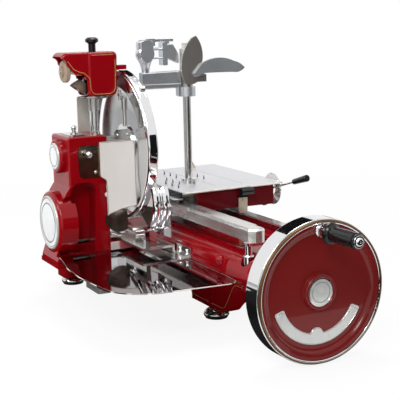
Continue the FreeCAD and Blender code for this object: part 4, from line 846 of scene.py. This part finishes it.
def stage_card(name, corners, material):
    """A flat four-cornered card of the studio."""
    mesh = bpy.data.meshes.new(name)
    mesh.from_pydata(corners, [], [(0, 1, 2, 3)])
    card = bpy.data.objects.new(name, mesh)
    bpy.context.scene.collection.objects.link(card)
    mesh.materials.append(material)
    return card


reach = 14.0
floor_corners = [(-reach, -reach, 0), (reach, -reach, 0), (reach, reach, 0), (-reach, reach, 0)]
stage_card("studio_floor", floor_corners, white)

world = bpy.data.worlds.new("studio")
bpy.context.scene.world = world
world.use_nodes = True
tree = world.node_tree
sky = tree.nodes["Background"]
sky.inputs["Color"].default_value = (1, 1, 1, 1)
sky.inputs["Strength"].default_value = 0.50
bright = tree.nodes.new("ShaderNodeBackground")
bright.inputs["Color"].default_value = (1, 1, 1, 1)
bright.inputs["Strength"].default_value = 1.0
value, mixed = light_path_mix(tree, ["Is Camera Ray", "Is Glossy Ray", "Is Transmission Ray"],
                              sky.outputs["Background"], bright.outputs["Background"],
                              tree.nodes["World Output"].inputs["Surface"])
tree.links.new(value, mixed.inputs["Fac"])
print("floor and world are white")

# %% Dark cards round the machine
card_black = bpy.data.materials.new("studio_black")
card_black.use_nodes = True
felt = card_black.node_tree.nodes["Principled BSDF"]
felt.inputs["Base Color"].default_value = (0.012, 0.012, 0.013, 1)
felt.inputs["Roughness"].default_value = 1.0
felt.inputs["Specular IOR Level"].default_value = 0.0


machine_middle = Vector((0, 0, 0.3))


def dark_card(name, corners):
    """A black card that only shows in reflections."""
    card = stage_card(name, corners, card_black)
    card.visible_camera = False
    card.visible_diffuse = False
    card.visible_shadow = False
    return card


def upright_card(name, centre, width, height):
    """A black upright card that faces the middle of the machine."""
    middle = Vector(centre)
    towards = (machine_middle - middle).normalized()
    side = towards.cross(Vector((0, 0, 1))).normalized() * width / 2
    up = side.cross(towards).normalized() * height / 2
    corners = [middle - side - up, middle + side - up, middle + side + up, middle - side + up]
    return dark_card(name, [tuple(corner) for corner in corners])


def floor_card(name, low_x, high_x, low_y, high_y):
    """A black card that lies on the floor."""
    height = 0.5 * MM
    corners = [(low_x, low_y), (high_x, low_y), (high_x, high_y), (low_x, high_y)]
    return dark_card(name, [(x, y, height) for x, y in corners])


floor_card("card_floor_front", -1.2, 4.5, -5.5, -0.72)
floor_card("card_floor_left", -3.6, 0.30, -0.42, 1.4)
upright_card("card_left", (-3.0, 0.6, 0.9), 2.0, 2.6)
upright_card("card_front", (1.6, -3.4, 0.8), 3.6, 1.6)
upright_card("card_high", (-0.8, -2.4, 3.0), 2.4, 0.6)
upright_card("card_back", (1.9, 3.6, 2.9), 3.6, 2.2)
print("dark cards: 6")

# %% Lamps
def soft_lamp(name, place, aim, size, power):
    """A square area lamp that looks at a point."""
    light = bpy.data.lights.new(name, "AREA")
    light.shape = "SQUARE"
    light.size = size
    light.energy = power
    lamp = bpy.data.objects.new(name, light)
    bpy.context.scene.collection.objects.link(lamp)
    lamp.location = place
    lamp.rotation_euler = (Vector(aim) - Vector(place)).to_track_quat("-Z", "Y").to_euler()
    return lamp


soft_lamp("key_lamp", (-1.8, -2.2, 2.6), (0, 0, 0.25), 1.2, 60)
soft_lamp("top_lamp", (0.3, 0.4, 3.0), (0, 0, 0.2), 1.4, 45)
soft_lamp("left_lamp", (-2.4, 0.2, 1.8), (0, 0, 0.3), 0.8, 22)
print("lamps: 3")

# %% [markdown]
# The camera
#
# The place and aim of the camera come from matching the wheel, the ring, the rails and the
# post of the construction model with the photograph. It looks down a little from the front
# left corner, through a long lens, and is tilted by one degree.

# %% Camera at the photograph's viewpoint
camera_place = Vector((-1.1262, -2.1158, 0.7414))
azimuth, elevation, roll = math.radians(-27.4), math.radians(10.5), math.radians(-1.3)
level = math.cos(elevation)
back = Vector((math.sin(azimuth) * level, -math.cos(azimuth) * level, math.sin(elevation)))
right = (-back).cross(Vector((0, 0, 1))).normalized()
up = right.cross(-back)
right_rolled = math.cos(roll) * right + math.sin(roll) * up
up_rolled = math.cos(roll) * up - math.sin(roll) * right
view = bpy.data.cameras.new("camera")
view.lens = 90
view.sensor_width = 36
camera = bpy.data.objects.new("camera", view)
bpy.context.scene.collection.objects.link(camera)
turn = Matrix((right_rolled, up_rolled, back)).transposed()
camera.matrix_world = Matrix.Translation(camera_place) @ turn.to_4x4()
bpy.context.scene.camera = camera
bpy.context.scene.view_settings.view_transform = "Standard"
print("camera at", [round(v, 3) for v in camera_place])
